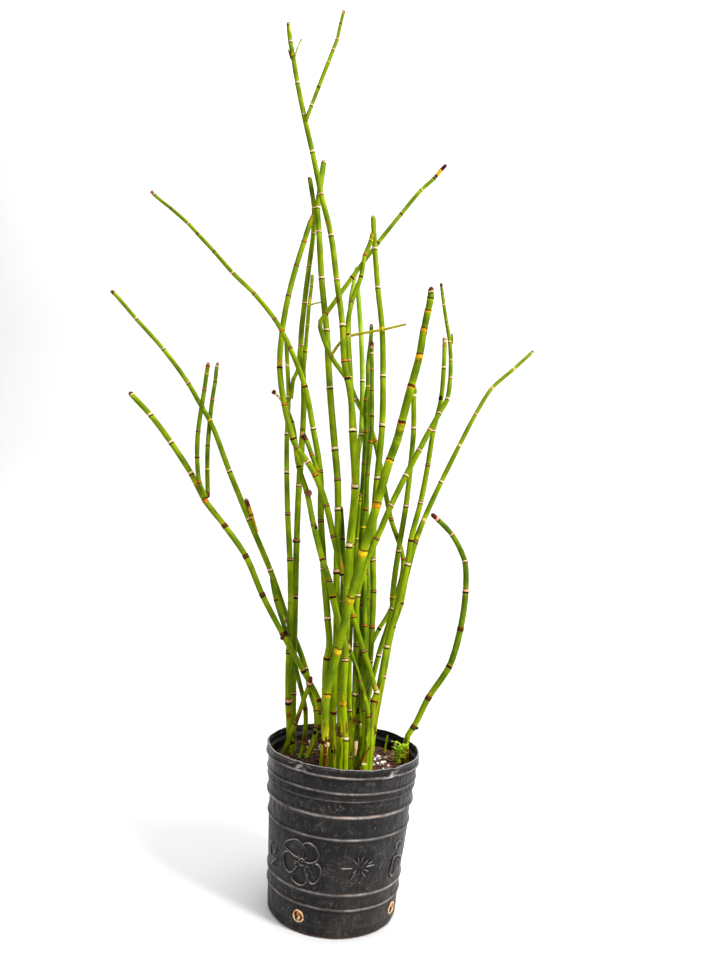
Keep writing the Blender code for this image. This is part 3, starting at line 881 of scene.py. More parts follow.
@dataclass
class Skin:
    """The skin of one stem, built round the stem's node. Its number seeds its chance and its pattern."""

    stem: Stem
    node: Object
    number: int
    usual_radius: float = 3.3
    ring_gap: float = 8
    tip_taper: float = 0.6
    neck_gap: float = 4.5
    soil_rings: float = 193.6
    sharp_turn: float = 24
    corner_cut: float = 6
    bulb_height: float = 189
    bulb_spread: float = 7
    soft: float = 0.16
    band_low: float = -5.4
    band_high: float = 4.4
    stains: int = 9
    stain_tints: tuple[Tint, ...] = (T.BROWN, T.DARK, T.GOLD, T.RED, T.BROWN, T.LIME)
    cup_steps: Row = (
        -4.8, -3.8, -3.3, -2.8, -2.3, -1.8, -1.3, -0.8, -0.3, 0.3, 0.9, 1.4, 1.9, 2.4, 2.75, 3.2, 3.8, 4.6, 6.5
    )
    sag_steps: Row = (3, 3.8, 4.2, 5, 5.5, 6, 6.6)
    tip_steps: Row = (9, 12, 16, 20)
    cup_places: Row = (-4.6, -3, -2.6, -2.2, -1.7, 0, 1.7, 2.5, 2.65, 4, 9)
    cup_widths: Row = (1, 1, 1.06, 1.085, 1.07, 1.045, 1.08, 1.07, 0.95, 0.96, 0.985)

    def __post_init__(self) -> None:
        """Reads the line, joints and thickness from the node, and sets where the rings of points go."""
        rings = rings_of(self.node)
        kept = [
            ring for ring, after in zip(rings, rings[1:])
            if np.linalg.norm(after[0] - ring[0]) > self.neck_gap or after[1] < ring[1]
        ]
        kept.append(rings[-1])
        if self.stem.rooted:
            kept = [kept[0], *(ring for ring in kept[1:] if ring[0][2] > self.soil_rings)]
        kinds = [None, *(Joint[word] for word in reversed(self.stem.joints.upper().split())), None]
        if len(kinds) != len(kept):
            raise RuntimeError(f"{self.stem.node} has {len(kept) - 2} joints and bends, not {len(kinds) - 2}")
        places, named = [], []
        for number, ((centre, _), kind) in enumerate(zip(kept, kinds)):
            if kind not in (None, Joint.BEND):
                named.append((len(places), kind.value))
            places.extend(self.rounded(kept, number) if kind is Joint.BEND else [centre])
        self.chance = Random(self.number * 31 + 7)
        self.line = Line(np.array(places))
        self.joints = [(float(self.line.reach[place]), band) for place, band in named]
        self.length = float(self.line.reach[-1])
        self.ends = self.stem.radii or (rings[0][1], rings[-1][1] / self.tip_taper)
        self.scale = self.joint_scale(sum(self.ends) / 2)
        self.tip_scale = self.joint_scale(self.ends[1])
        self.angle = sides_round(2 * self.stem.ridges)
        self.rings = self.rings_along()

    def rounded(self, rings: list[tuple[Array, float]], number: int) -> list[Array]:
        """A bend's places: the ring's own where it turns little, and three round a sharp corner.

        Args:
            rings: The node's rings.
            number: Which of them is the bend.

        Returns:
            The places.
        """
        before, corner, after = (rings[n][0] for n in (number - 1, number, number + 1))
        back, ahead = unit(before - corner), unit(after - corner)
        if float(back @ ahead) < -math.cos(math.radians(self.sharp_turn)):
            return [corner]
        cut = min(self.corner_cut, np.linalg.norm(before - corner) / 3, np.linalg.norm(after - corner) / 3)
        start, end = corner + back * cut, corner + ahead * cut
        return [start, (start + end) / 4 + corner / 2, end]

    def radius_at(self, place: float) -> float:
        """The stem's plain radius this far along."""
        return float(np.interp(place, [0, self.length], self.ends))

    def joint_scale(self, radius: float) -> float:
        """How large a joint is on a stem of this radius."""
        return float(np.clip(radius / self.usual_radius, 0.4, 1.45))

    def rings_along(self) -> Array:
        """Distances along the stem that get a ring of points, closer at its joints and its tip.

        Returns:
            The distances.
        """
        start = 0 if self.stem.rooted else -self.stem.hidden_start
        fine = [place + step * self.scale for place, _ in self.joints for step in self.cup_steps]
        fine += [place - step * self.scale for place, band in self.joints for step in self.sag_steps if band.sag > 0]
        fine += [self.length - step * self.scale for step in self.stem.end_places]
        fine += [self.length - step for step in self.tip_steps if self.length > 30]
        coarse = [s for s in np.arange(start, self.length, self.ring_gap) if min(abs(s - f) for f in fine) > 2]
        wanted = np.array(sorted({start, *coarse, *(f for f in fine if start < f <= self.length)}))
        return wanted[np.concatenate([[True], np.diff(wanted) > 0.09])]

    def widths(self) -> Array:
        """The stem's radius at each ring, before its ridges.

        Returns:
            The radii.
        """
        radius = np.interp(self.rings, [0, self.length], self.ends)
        factor = np.ones_like(radius)
        for place, band in self.joints:
            away = (self.rings - place) / self.joint_scale(self.radius_at(place))
            cup = np.interp(away, self.cup_places, self.cup_widths, left=1, right=1)
            factor *= 1 + (cup - 1) * np.where(cup > 1, band.flare, 1)
        away = (self.length - self.rings) / self.tip_scale
        factor *= np.interp(away, self.stem.end_places, self.stem.end_widths, right=1)
        return radius * factor

    def add_band(self, paint: Array, place: float, band: Band) -> None:
        """Paints a joint.

        Args:
            paint: The paint so far.
            place: How far along the joint is.
            band: Its colours.
        """
        soft = self.soft
        phase = self.chance.uniform(0, ONCE_ROUND)
        wobble = 0.28 * np.sin(3 * self.angle + phase) + 0.16 * np.sin(7 * self.angle + 2 * phase)
        away = (self.rings[:, None] - place) / self.joint_scale(self.radius_at(place)) + wobble
        top = (band.line_height + band.cup_height) / 2
        low = -top - band.sag * np.abs(np.cos(self.angle + phase * 0.06)) ** 0.8
        shade = self.chance.uniform(0.78, 1.12)
        cup_low = low + band.line_height
        lay(paint, band.line, ease(low - band.fade, low + band.fade, away), band.cover, shade)
        lay(paint, band.cup, ease(cup_low - soft, cup_low + soft, away), band.cover, shade)
        lay(paint, band.edge, ease(top - soft, top + soft, away), band.cover)
        end = top + band.edge_height
        if self.stem.coat:
            lay(paint, self.stem.coat, np.where(away > end, 1, 0))
            return
        paint[..., 3] *= 1 - ease(end - soft, end + soft, away) * (away < self.band_high)
        paint[..., 3] = np.where(away >= self.band_high, 0, paint[..., 3])

    def clear_between(self, paint: Array) -> None:
        """Clears the paint that lies far from every joint.

        Args:
            paint: The paint so far.
        """
        near = np.zeros(len(self.rings), bool)
        for place, band in self.joints:
            away = (self.rings - place) / self.joint_scale(self.radius_at(place))
            near |= (away > self.band_low - band.sag) & (away < self.band_high)
        paint[~near, :, 3] = 0

    def add_mark(self, paint: Array, mark: Mark) -> None:
        """Paints a patch.

        Args:
            paint: The paint so far.
            mark: The patch.
        """
        away = (self.rings[:, None] - self.line.distance_at(mark.height)) / (mark.length / 2)
        side = off(self.angle, mark.turn) / math.radians(mark.spread)
        lay(paint, mark.tint, ease(1.15, 0.7, np.hypot(away, side)), 0.9)

    def stain(self) -> Mark:
        """One random stain near the foot."""
        chance = self.chance
        return Mark(chance.triangular(182, 300, 190), chance.choice(self.stain_tints), chance.uniform(4, 14),
                    chance.uniform(-90, 90), chance.uniform(16, 40))

    def paint(self) -> Array:
        """Colour and cover of each point: the joints' bands, the marks, the foot's stains and the tip's bands.

        Returns:
            The paint.
        """
        paint = np.zeros((len(self.rings), len(self.angle), 4))
        if self.stem.coat:
            paint[:] = painted(self.stem.coat)
        for place, band in self.joints:
            self.add_band(paint, place, band)
        if not self.stem.coat:
            self.clear_between(paint)
        stains = [self.stain() for _ in range(self.stains if self.stem.rooted else 0)]
        for mark in (*self.stem.marks, *stains):
            self.add_mark(paint, mark)
        wave = 0.5 * np.sin(2 * self.angle + self.chance.uniform(0, ONCE_ROUND))
        below = (self.length - self.rings)[:, None] + wave
        bands = self.stem.tip.value
        for band in reversed(bands):
            reach = sum(length for length, _ in bands[: bands.index(band) + 1]) * self.tip_scale
            shade = self.chance.uniform(0.85, 1.1)
            lay(paint, band[1], ease(reach + self.soft, reach - self.soft, below), 1, shade)
        return paint

    def tone(self, heights: Array) -> Array:
        """How deep the green is: light next to the joints, deeper between them, and lighter towards the foot, a painted
        light low in the pot.

        Args:
            heights: The rings' heights.

        Returns:
            The depth at each ring.
        """
        ends = np.array([0, *(place for place, _ in self.joints), self.length])
        before = np.clip(np.searchsorted(ends, self.rings, side="right") - 1, 0, len(ends) - 2)
        share = np.clip((self.rings - ends[before]) / np.maximum(ends[before + 1] - ends[before], 1e-6), 0, 1)
        middle = np.sin(math.pi * share) ** 0.8
        # Painted light: the tone sinks low in the pot and at the foot, which the finish turns lighter and lime
        above, foot = ease(178, 330, heights), ease(262, 186, heights)
        return (middle * self.stem.depth + (0.45 - self.stem.depth / 2)) * above + 0.02 - 0.8 * foot

    def build(self, slot: str, material: Material) -> None:
        """Builds the skin, with its buds and sprigs, in place of the node.

        Args:
            slot: The stem's material slot in the record; not used by the piece.
            material: Its finish.
        """
        stem, number, scale, rings = self.stem, self.number, self.scale, self.rings
        crests = np.tile([1, 0], stem.ridges)
        plain = np.ones(len(rings))
        teeth = np.zeros(len(rings))
        for place, _ in self.joints:
            away = (rings - place) / scale
            plain *= 1 - 0.6 * bell(away, 2.4)
            teeth += np.where((away > 2.1) & (away < 2.9), 0.55 * scale, 0)
        ridge = stem.ridge_height * scale * plain
        uneven = 1 + 0.02 * np.sin(rings / 11 + number) * np.sin(rings / 4.7 + 2 * number)
        radii = (self.widths() * uneven)[:, None] + ridge[:, None] * (crests - 0.6)
        centres = self.line.at(rings)
        radii *= 1 + stem.bulb * bell(centres[:, 2:] - self.bulb_height, self.bulb_spread)
        radii *= np.interp(rings / self.length, np.linspace(0, 1, len(stem.girth)), stem.girth)[:, None]
        crest = np.broadcast_to(crests, radii.shape) * plain[:, None] + (1 - plain[:, None])
        lift = teeth[:, None] * (crests - 0.3)
        tone = self.tone(centres[:, 2])
        sketch = Sketch()
        sketch.tube(centres, radii, len(crests), self.paint(), crest, lift, number * 400, tone)
        for bud in stem.buds:
            self.add_bud(sketch, bud)
        for sprig in stem.sprigs:
            self.add_sprig(sketch, sprig)
        sketch.piece(stem.node + "_skin", material, slot, stem.node)

    def add_bud(self, sketch: Sketch, bud: Bud) -> None:
        """Adds a bud of overlapping scales.

        Args:
            sketch: The stem's sketch.
            bud: The bud.
        """
        place = self.line.distance_at(bud.height)
        tangent = self.line.tangent(place)
        out = outward(tangent, np.array([math.radians(bud.turn)]))[0, 0]
        foot = self.line.at(np.array([place]))[0] + out * self.radius_at(place) * 0.7
        way = unit(out + tangent[0] * bud.tilt)
        shares, fullness, shades = (np.array(values) for values in (bud.shares, bud.fullness, bud.shades))
        ripple = 1 + 0.1 * np.sin(np.arange(bud.sides) * 2.4)[None] * np.sin(shares * 17)[:, None]
        paint = np.ones((len(shares), bud.sides, 4))
        shade = shades * self.chance.uniform(0.85, 1.15)
        paint[..., :3] = np.array(bud.tint.linear) * shade[:, None, None]
        centres = foot + way * (shares * bud.size * 1.2)[:, None]
        sketch.tube(centres, (fullness * bud.size / 2)[:, None] * ripple, bud.sides, paint, np.ones(ripple.shape))

    def add_sprig(self, sketch: Sketch, sprig: Sprig) -> None:
        """Adds a short thin shoot.

        Args:
            sketch: The stem's sketch.
            sprig: The shoot.
        """
        origin = self.line.at(np.array([self.line.distance_at(sprig.height)]))[0]
        way = Line(np.array([origin, *(origin + np.array(step) for step in sprig.path)]), 60, 90)
        reach = way.reach[-1]
        distances = np.linspace(0, reach, max(8, int(reach / 1.6)))
        shares = distances / reach
        taper = np.interp(shares, [0, 0.7, 0.93, 1], [1, 0.85, 0.7, 0.25])
        knots = 1 + 0.22 * np.exp(-(((distances % 9) - 5) ** 2) / 0.6)
        paint = np.full((len(distances), sprig.sides, 4), 0.92)
        paint[..., :3] = blended(sprig.tint, sprig.end, ease(0.72, 0.86, shares)[:, None, None])
        sketch.tube(way.at(distances), sprig.width / 2 * taper * knots, sprig.sides, paint, np.ones(paint.shape[:2]))


KNOB_WIDTHS = (0.6, 1.1, 1.3, 1.12, 1, 1, 1)
HEAD_PLACES = (0, 0.8, 2.5, 6, 10, 13.5, 17)
HEAD_WIDTHS = (0.8, 1.6, 2.1, 2.3, 2, 1.2, 1)
BUD_WIDTHS = (0.4, 0.95, 1.25, 1.4, 1.3, 1.05, 1)

# In this order, because a stem's number seeds its chance
STEMS = (
    Stem("tallest_stem",
         "cream yellow cream pink cream pink cream pink big orange dark bend big big big faint brown faint brown",
         girth=(0.9, 1.27, 1.34, 1.31), marks=(Mark(1124, T.CREAM, 12, 60), Mark(866, T.ORANGE, 16, -55, 30),
         Mark(769, T.RED, 5, -30, 40), Mark(727, T.OLIVE, 18, 15, 32), Mark(858, T.GOLD, 7, 55, 30)),
         sprigs=(Sprig(461, ((5, -2, 1), (8, -3, 3), (11, -4, 9)), 1.4, T.BROWN, T.DARK),
         Sprig(529, ((-3.6, -2.4, 2), (-4, -2.6, 12), (-3.8, -2.6, 22)), 1.9, T.TAN, T.RED))),
    Stem("tallest_stem_fork", "red pink cream yellow dark cream", Tip.PINK, girth=(1.18, 1.4, 1.3),
         marks=(Mark(1053, T.BROWN, 3, -30, 45),), rooted=False, end_widths=(0.36, 0.68, 0.85, 0.94, 1, 1, 1)),
    Stem("second_stem", "cream cream pink cream cream cream big brown cream big_pink faint faint red red",
         girth=(0.9, 1.52, 1.58), marks=(Mark(862, T.BROWN, 5, -65, 30),), buds=(Bud(504, 70, 4.6),)),
    Stem("third_stem", "cream cream pink pink pink bend faint pink faint brown faint brown", girth=(1, 1.72, 1.88)),
    Stem("companion_stem", "yellow orange dark brown dark pink pink cream brown faint faint brown faint brown",
         Tip.YELLOW, girth=(0.9, 1.32, 1.31)),
    Stem("straight_right_stem", "faint cream cream yellow cream big cream bend pink brown orange pink faint",
         Tip.RED, girth=(0.92, 1.42, 1.3), marks=(Mark(735, T.BROWN, 4, 0, 40),)),
    Stem("leaning_left_stem", "brown orange brown brown orange dark orange dark brown "
         "pink orange brown brown dark orange brown cream red faint", Tip.YELLOW, girth=(0.95, 1.46, 1.53),
         marks=(Mark(876, T.OLIVE, 14, 20, 60), Mark(686, T.GOLD, 6, 0, 70), Mark(286, T.TAN, 4, 30, 50),
         Mark(432, T.ORANGE, 8, 30, 40)), buds=(Bud(424, 75, 4.6, T.DARK), Bud(424, -80, 3.6, T.DARK),
         Bud(418, 10, 4, T.ORANGE)),
         sprigs=(Sprig(424, ((4, -3, -6), (8, -5, -16), (12, -6, -23)), 1.3, T.LIME, T.STRAW),)),
    Stem("arching_stem", "cream brown pink brown brown pink brown brown orange brown "
         "dark cream brown brown pink cream bend red faint brown", Tip.CREAM, girth=(1.05, 1.51, 1.3, 1.03),
         end_widths=KNOB_WIDTHS),
    Stem("bent_left_stem", "dark yellow yellow dark dark faint brown pink knot big_pink bend pink", Tip.SHORT_BROWN,
         girth=(0.95, 1.55, 1.73), ridges=14, marks=(Mark(787, T.YELLOW, 7, 0, 60),),
         sprigs=(Sprig(782, ((4, -2, 1), (10, -3, 3), (18, -3, 5)), 2.4, T.OLIVE, T.OLIVE),),
         buds=(Bud(666, 60, 3.4, T.DARK), Bud(457, -65, 3.8, T.DARK))),
    Stem("upright_left_stem", "pale cream cream cream brown brown faint brown big_pink red", Tip.GREEN,
         girth=(1.02, 1.1, 1.02), ridges=14, marks=(Mark(660, T.YELLOW, 9, 20, 60), Mark(569, T.BROWN, 6, 75, 25),
         Mark(402, T.BROWN, 4, 20, 30)), buds=(Bud(197, 10, 5, T.RED, 1.4),), bulb=0.4),
    Stem("upright_left_fork", "bend brown", Tip.GREEN, girth=(1.8, 2), ridges=10, rooted=False),
    Stem("budded_stem", "dark dark brown brown red brown dark bend bend pink yellow cream", girth=(0.92, 1.46, 1.46),
         marks=(Mark(564, T.DARK, 16, -60, 24),), buds=(Bud(520, 32, 7.4, T.BARK, 0.5), Bud(478, 40, 4.2, T.DARK),
         Bud(268, 10, 4.4, T.AMBER, 1.2))),
    Stem("dead_left_shoot", "brown orange orange", Tip.HEAD, ridges=9, rooted=False, radii=(2.5, 2.2),
         end_places=HEAD_PLACES, end_widths=BUD_WIDTHS),
    Stem("long_left_stem",
         "brown cream cream cream yellow yellow cream cream cream orange cream faint yellow brown bend", Tip.CREAM,
         girth=(1, 1.46, 1.19), end_widths=(0.3, 0.56, 0.8, 1.05, 1.04, 1, 1), buds=(Bud(212, 60, 5, T.BROWN),
         Bud(207, -20, 4.4, T.DARK))),
    Stem("middle_left_stem", "red scab bend brown yellow", Tip.GREEN, girth=(0.92, 1.24), green=Green.DEEP),
    Stem("low_left_stem", "dark cream cream cream orange scab scab scab scab dark red brown faint", Tip.PINK,
         girth=(0.8, 1.11, 1.12), ridges=14, marks=(Mark(528, T.YELLOW, 14, 10, 70), Mark(518, T.ORANGE, 8, 40, 50),
         Mark(487, T.DARK, 5, 40, 40)), buds=(Bud(506, 80, 8.2, T.BROWN, 0.9), Bud(502, 20, 5.4, T.ORANGE, 0.3),
         Bud(335, 70, 5, T.DARK), Bud(332, -40, 4.6, T.BROWN))),
    Stem("low_left_front_fork", "yellow orange brown dark orange", Tip.DARK, Green.DEEP, girth=(1.13, 1.27, 1.25),
         ridges=10, rooted=False),
    Stem("low_left_back_fork", "cream dark orange brown yellow", Tip.BROWN, Green.DEEP, girth=(1.13, 1.29, 1.23),
         ridges=10, rooted=False),
    Stem("short_left_stem", "brown faint red", Tip.DRIED_BUD, girth=(1.3, 1.26), ridges=10,
         marks=(Mark(232, T.BROWN, 18, 20, 70), Mark(243, T.DARK, 8, -20, 50))),
    Stem("kinked_stem", "dark dark cream dark dark dark orange bend orange dark "
         "pink bend orange faint orange orange bend bend dark faint brown", Tip.WITHERED, girth=(0.95, 1.38, 1.23),
         ridges=11, marks=(Mark(939, T.DARK, 3, 0, 70), Mark(477, T.DARK, 5, 20, 60))),
    Stem("long_twig", "yellow faint cream bend", coat=T.OLIVE, ridges=6, rooted=False, radii=(2.1, 1.55),
         girth=(1, 1), ridge_height=0.04, marks=(Mark(1000, T.ORANGE, 5, 0, 90), Mark(985, T.YELLOW, 8, 0, 90))),
    Stem("thick_stem", "thin thin short_amber framed framed rust rust_dark "
         "faint short_amber amber golden golden golden short_amber dark", Tip.DOME,
         girth=(0.7, 0.8, 1.03, 1.09, 1), ridges=20, ridge_height=0.08, depth=0.95,
         marks=(Mark(725, T.RUST, 7, -62, 18), Mark(725, T.RUST, 7, 55, 16), Mark(692, T.RUST, 6, 28, 14),
         Mark(690, T.RUST, 5, -22, 12), Mark(684, T.YELLOW, 7, 50, 16), Mark(682, T.YELLOW, 7, -45, 16),
         Mark(608, T.OLIVE, 7, 0, 60), Mark(222, T.STRAW, 7, 45, 22)), buds=(Bud(224, -60, 5.6, T.DARK),
         Bud(221, 35, 5.2, T.STRAW), Bud(225, 70, 4.4, T.BROWN))),
    Stem("forked_right_stem",
         "brown pink brown pink pink pink cream cream pink pink cream pink brown faint bend cream brown cream brown",
         Tip.LONG_BROWN, girth=(0.98, 1.35, 1.54, 1.21), marks=(Mark(492, T.MOSS, 4, 0, 60),),
         sprigs=(Sprig(733, ((2.6, -0.5, 1.5), (2.6, -0.5, 6), (1.4, -0.5, 15)), 3, T.MOSS, T.RED),)),
    Stem("brown_tip_stem", "dark cream faint pink brown pink dark cream cream faint brown", Tip.SCALED,
         girth=(0.92, 1.29, 1.26), marks=(Mark(687, T.BROWN, 4, 30, 50),), buds=(Bud(660, -25, 5.2, T.DARK, 3.4),)),
    Stem("far_right_stem", "pale pale pink pale cream pale brown faint red red pink red", Tip.PINK,
         girth=(0.92, 1.3, 1.08), marks=(Mark(342, T.YELLOW, 34, -45, 26), Mark(420, T.RED, 7, -70, 30),
         Mark(478, T.YELLOW, 7, 0, 70))),
    Stem("slender_right_stem", "pale cream faint cream cream yellow cream cream brown", Tip.GREEN,
         girth=(0.95, 1.3, 1.33)),
    Stem("curved_right_stem", "brown pink pink big_pink scab dark scab scab bend faint", Tip.DRIED_BUD, Green.DEEP,
         girth=(1.03, 1.4, 1.27), marks=(Mark(190, T.BROWN, 22, 40, 60), Mark(186, T.ORANGE, 12, -20, 50)),
         buds=(Bud(225, 80, 4.2, T.DARK),)),
    Stem("short_back_stem", "pink bend brown faint pink faint brown faint brown faint", Tip.GREEN, Green.PALE),
    Stem("pale_stem", "pale cream cream faint faint faint cream cream dark", Tip.GREEN, Green.PALE,
         buds=(Bud(250, 20, 5, T.BLACK),), marks=(Mark(398, T.CREAM, 10, 30, 50),)),
    Stem("slim_right_stem", "brown faint yellow orange orange brown faint red brown red", green=Green.DEEP,
         marks=(Mark(235, T.CREAM, 5, 20, 40),)),
    Stem("dead_bud_stem", "pink orange orange red orange brown red yellow faint orange orange brown", Tip.DRIED_BUD,
         Green.DEEP),
    Stem("pale_slim_stem", "pale faint faint brown pale faint", Tip.GREEN, Green.PALE),
    Stem("dead_right_stem", "dark brown red faint", Tip.DRIED_BUD, Green.DEEP, radii=(2.6, 1.8),
         marks=(Mark(338, T.PINK, 9, -20, 60), Mark(310, T.DARK, 26, -30, 40))),
    Stem("hidden_stem", "red pink faint red faint", Tip.BROWN, Green.DEEP, buds=(Bud(300, 60, 4, T.RED),)),
    Stem("dead_middle_stem", "red faint brown", Tip.DARK, Green.DEEP, ridges=9),
    Stem("dead_slim_stem", "dark cream faint cream cream pink", Tip.DARK),
    Stem("right_top_twig", "pale", Tip.BROWN, Green.PALE, ridges=5, rooted=False, hidden_start=3, radii=(1, 0.8)),
    Stem("left_top_twig", "brown", Tip.BROWN, coat=T.BROWN, ridges=5, rooted=False, hidden_start=3,
         radii=(1, 0.8)),
    Stem("dead_side_shoot", "dark", Tip.PLUM, coat=T.GOLD, ridges=7, rooted=False, radii=(1.2, 2.3),
         hidden_start=2),
    Stem("dead_side_twig", "brown", Tip.HEAD, coat=T.STRAW, ridges=6, rooted=False, radii=(1.2, 1.1),
         end_places=HEAD_PLACES, end_widths=HEAD_WIDTHS),
    Stem("pink_twig", "", Tip.BROWN, coat=T.PINK, ridges=5, rooted=False, hidden_start=6),
    Stem("dead_stalk", "dark", Tip.BROWN, coat=T.BROWN, ridges=8, ridge_height=0.3),
    Stem("thin_sprout", "faint", Tip.GREEN, coat=T.LIME, ridges=5, girth=(1.9, 1.9)),
)

WALL_HEIGHTS = (0, 2.2, 32, 49.5, 116, 140.6, 143.6, 160.8, 163.2, 188, 190.2, 202.4)
WALL_RADII = (80.6, 81.7, 84.1, 84.9, 90.5, 91.3, 93.2, 94, 95.3, 97.4, 99.1, 99.8)


def wall_base(height: float | Array) -> float | Array:
    """Outer radius of the pot's wall at a height, without its ribs."""
    return np.interp(height, WALL_HEIGHTS, WALL_RADII)


@dataclass(frozen=True)
class Rib:
    """A raised ring round the pot's wall."""

    height: float
    rise: float
    width: float
    # How strong the ring's painted highlight, its painted shadows and its abrasion are
    abrasion_and_painted_light: float

    def over(self, heights: Array, turns: Array) -> Array:
        """How far points are above the ring, which wanders up and down a little."""
        return heights - self.height - 0.35 * np.sin(2 * turns + self.height)


@dataclass(frozen=True)
class WhiteningAndGlint:
    """A pale streak at a turn and a height, by its length, width and slope: silver for stress-whitened folds with
    painted highlight, tan for painted glints.
    """

    turn: float
    height: float
    length: float
    width: float
    slope: float
    cover: float = 0.8
    tint: Tint = T.SILVER


@dataclass(frozen=True)
class Motif:
    """Raised lines of one width, each as (right, up) steps from the same turn and height."""

    turn: float
    height: float
    width: float
    lines: tuple[Steps, ...]


def ray(angle: float, *radii: float) -> Steps:
    """Steps outwards at an angle from the right, to each of these radii."""
    turn = math.radians(angle)
    return tuple((radius * math.cos(turn), radius * math.sin(turn)) for radius in radii)


FLOWER = (-25.8, 84.1)
STAR = (19.4, 84.4)
CIRCLE = tuple((4.1 * math.cos(a), 4.1 * math.sin(a)) for a in np.linspace(0, ONCE_ROUND, 17))
RAYS = (
    (4, 8.5, 20), (36, 6, 14), (72, 6, 13.5), (100, 6, 13), (127, 5.5, 13), (181, 8, 21),
    (237, 5, 16.5), (222, 3.5, 9), (277, 3.8, 8.6), (309, 5.5, 15), (338, 6.5, 14), (18, 12, 18),
)

# The flower's petals, strokes, ring and middle, then the starburst, the leaf at the right and the leaves at the left
MOTIFS = (
    Motif(*FLOWER, 2.3, (
        ((-4, 4), (-10, 4.5), (-16, 6.5), (-22, 8.5), (-26.5, 11), (-25.5, 15.5), (-20, 20), (-13, 23.5), (-7, 24.5),
         (-3, 23), (0, 20)),
        ((0, 20), (3.5, 23.2), (8, 24.8), (14, 23), (19, 18.5), (21.5, 12.5), (19.5, 6.5), (14.5, 2.8), (8, 1),
         (4, 1.5)),
        ((-16, 6.5), (-22, 6), (-27, 3), (-29, -3), (-26.5, -10), (-21, -16.5), (-17, -17.5), (-7, -8), (-3.5, -4.5)),
        ((-14.5, -21.5), (-10.5, -25.5), (-4, -27.5), (3, -26.5), (6.8, -22), (7, -15), (4.8, -8), (3, -4.5)),
        ((9.5, -10), (8.8, -16.5), (11, -21), (16, -22), (21, -17.5), (24, -11), (24.5, -4), (21.5, 1), (16, 2.6)),
    )),
    Motif(*FLOWER, 1.5, (
        ((-11.5, -1.5), (-6, -1.2)), ((-12, -4.5), (-6.5, -3.4)), ((-10.5, -7.8), (-6.2, -5.4)),
        ((-2.4, 13), (-1.2, 5.4)), ((2.2, 12.5), (1.3, 5.4)), ((6.6, 7.2), (3.6, 3.9)), ((-6.5, 8.6), (-3.2, 4.6)),
        ((8.5, -4.2), (4.6, -2.8)), ((6.4, -7.6), (3.6, -4.6)), ((-2.8, -11), (-1.4, -5.4)),
    )),
    Motif(*FLOWER, 2.1, (CIRCLE,)),
    Motif(*FLOWER, 3.2, (((-0.9, 0), (0, 0.3), (0.9, 0)),)),
    Motif(*STAR, 1.7, tuple(ray(angle, start, (start + end) / 2, end) for angle, start, end in RAYS)),
    Motif(60.9, 76.9, 1.9, (
        ((-14.1, -8.6), (-8.2, -14.3), (-2.4, -9), (7.1, -2.7), (12, 2.9), (-0.2, 8.7), (-10, 8.4), (-12.3, 0.5),
         (-14.1, -8.6)),
        ((-5.4, 16.6), (-10, 24.2), (-1.1, 27.5), (4, 22), (0, 16)), ((-6, -6), (0, 1), (6, 4)),
        ((6, 17), (11, 21)), ((6, 23), (12, 27)), ((-4, 12), (2, 13)),
    )),
    Motif(-57.6, 66.5, 1.9, (
        ((-9.6, -6.7), (-0.1, 2.4), (7.6, 6.8)), ((0, -1.2), (2.9, -4.8)), ((-4, 8), (2, 14), (5, 20)),
        ((-10, 4), (-14, 12), (-10, 20), (-4, 24)),
    )),
)


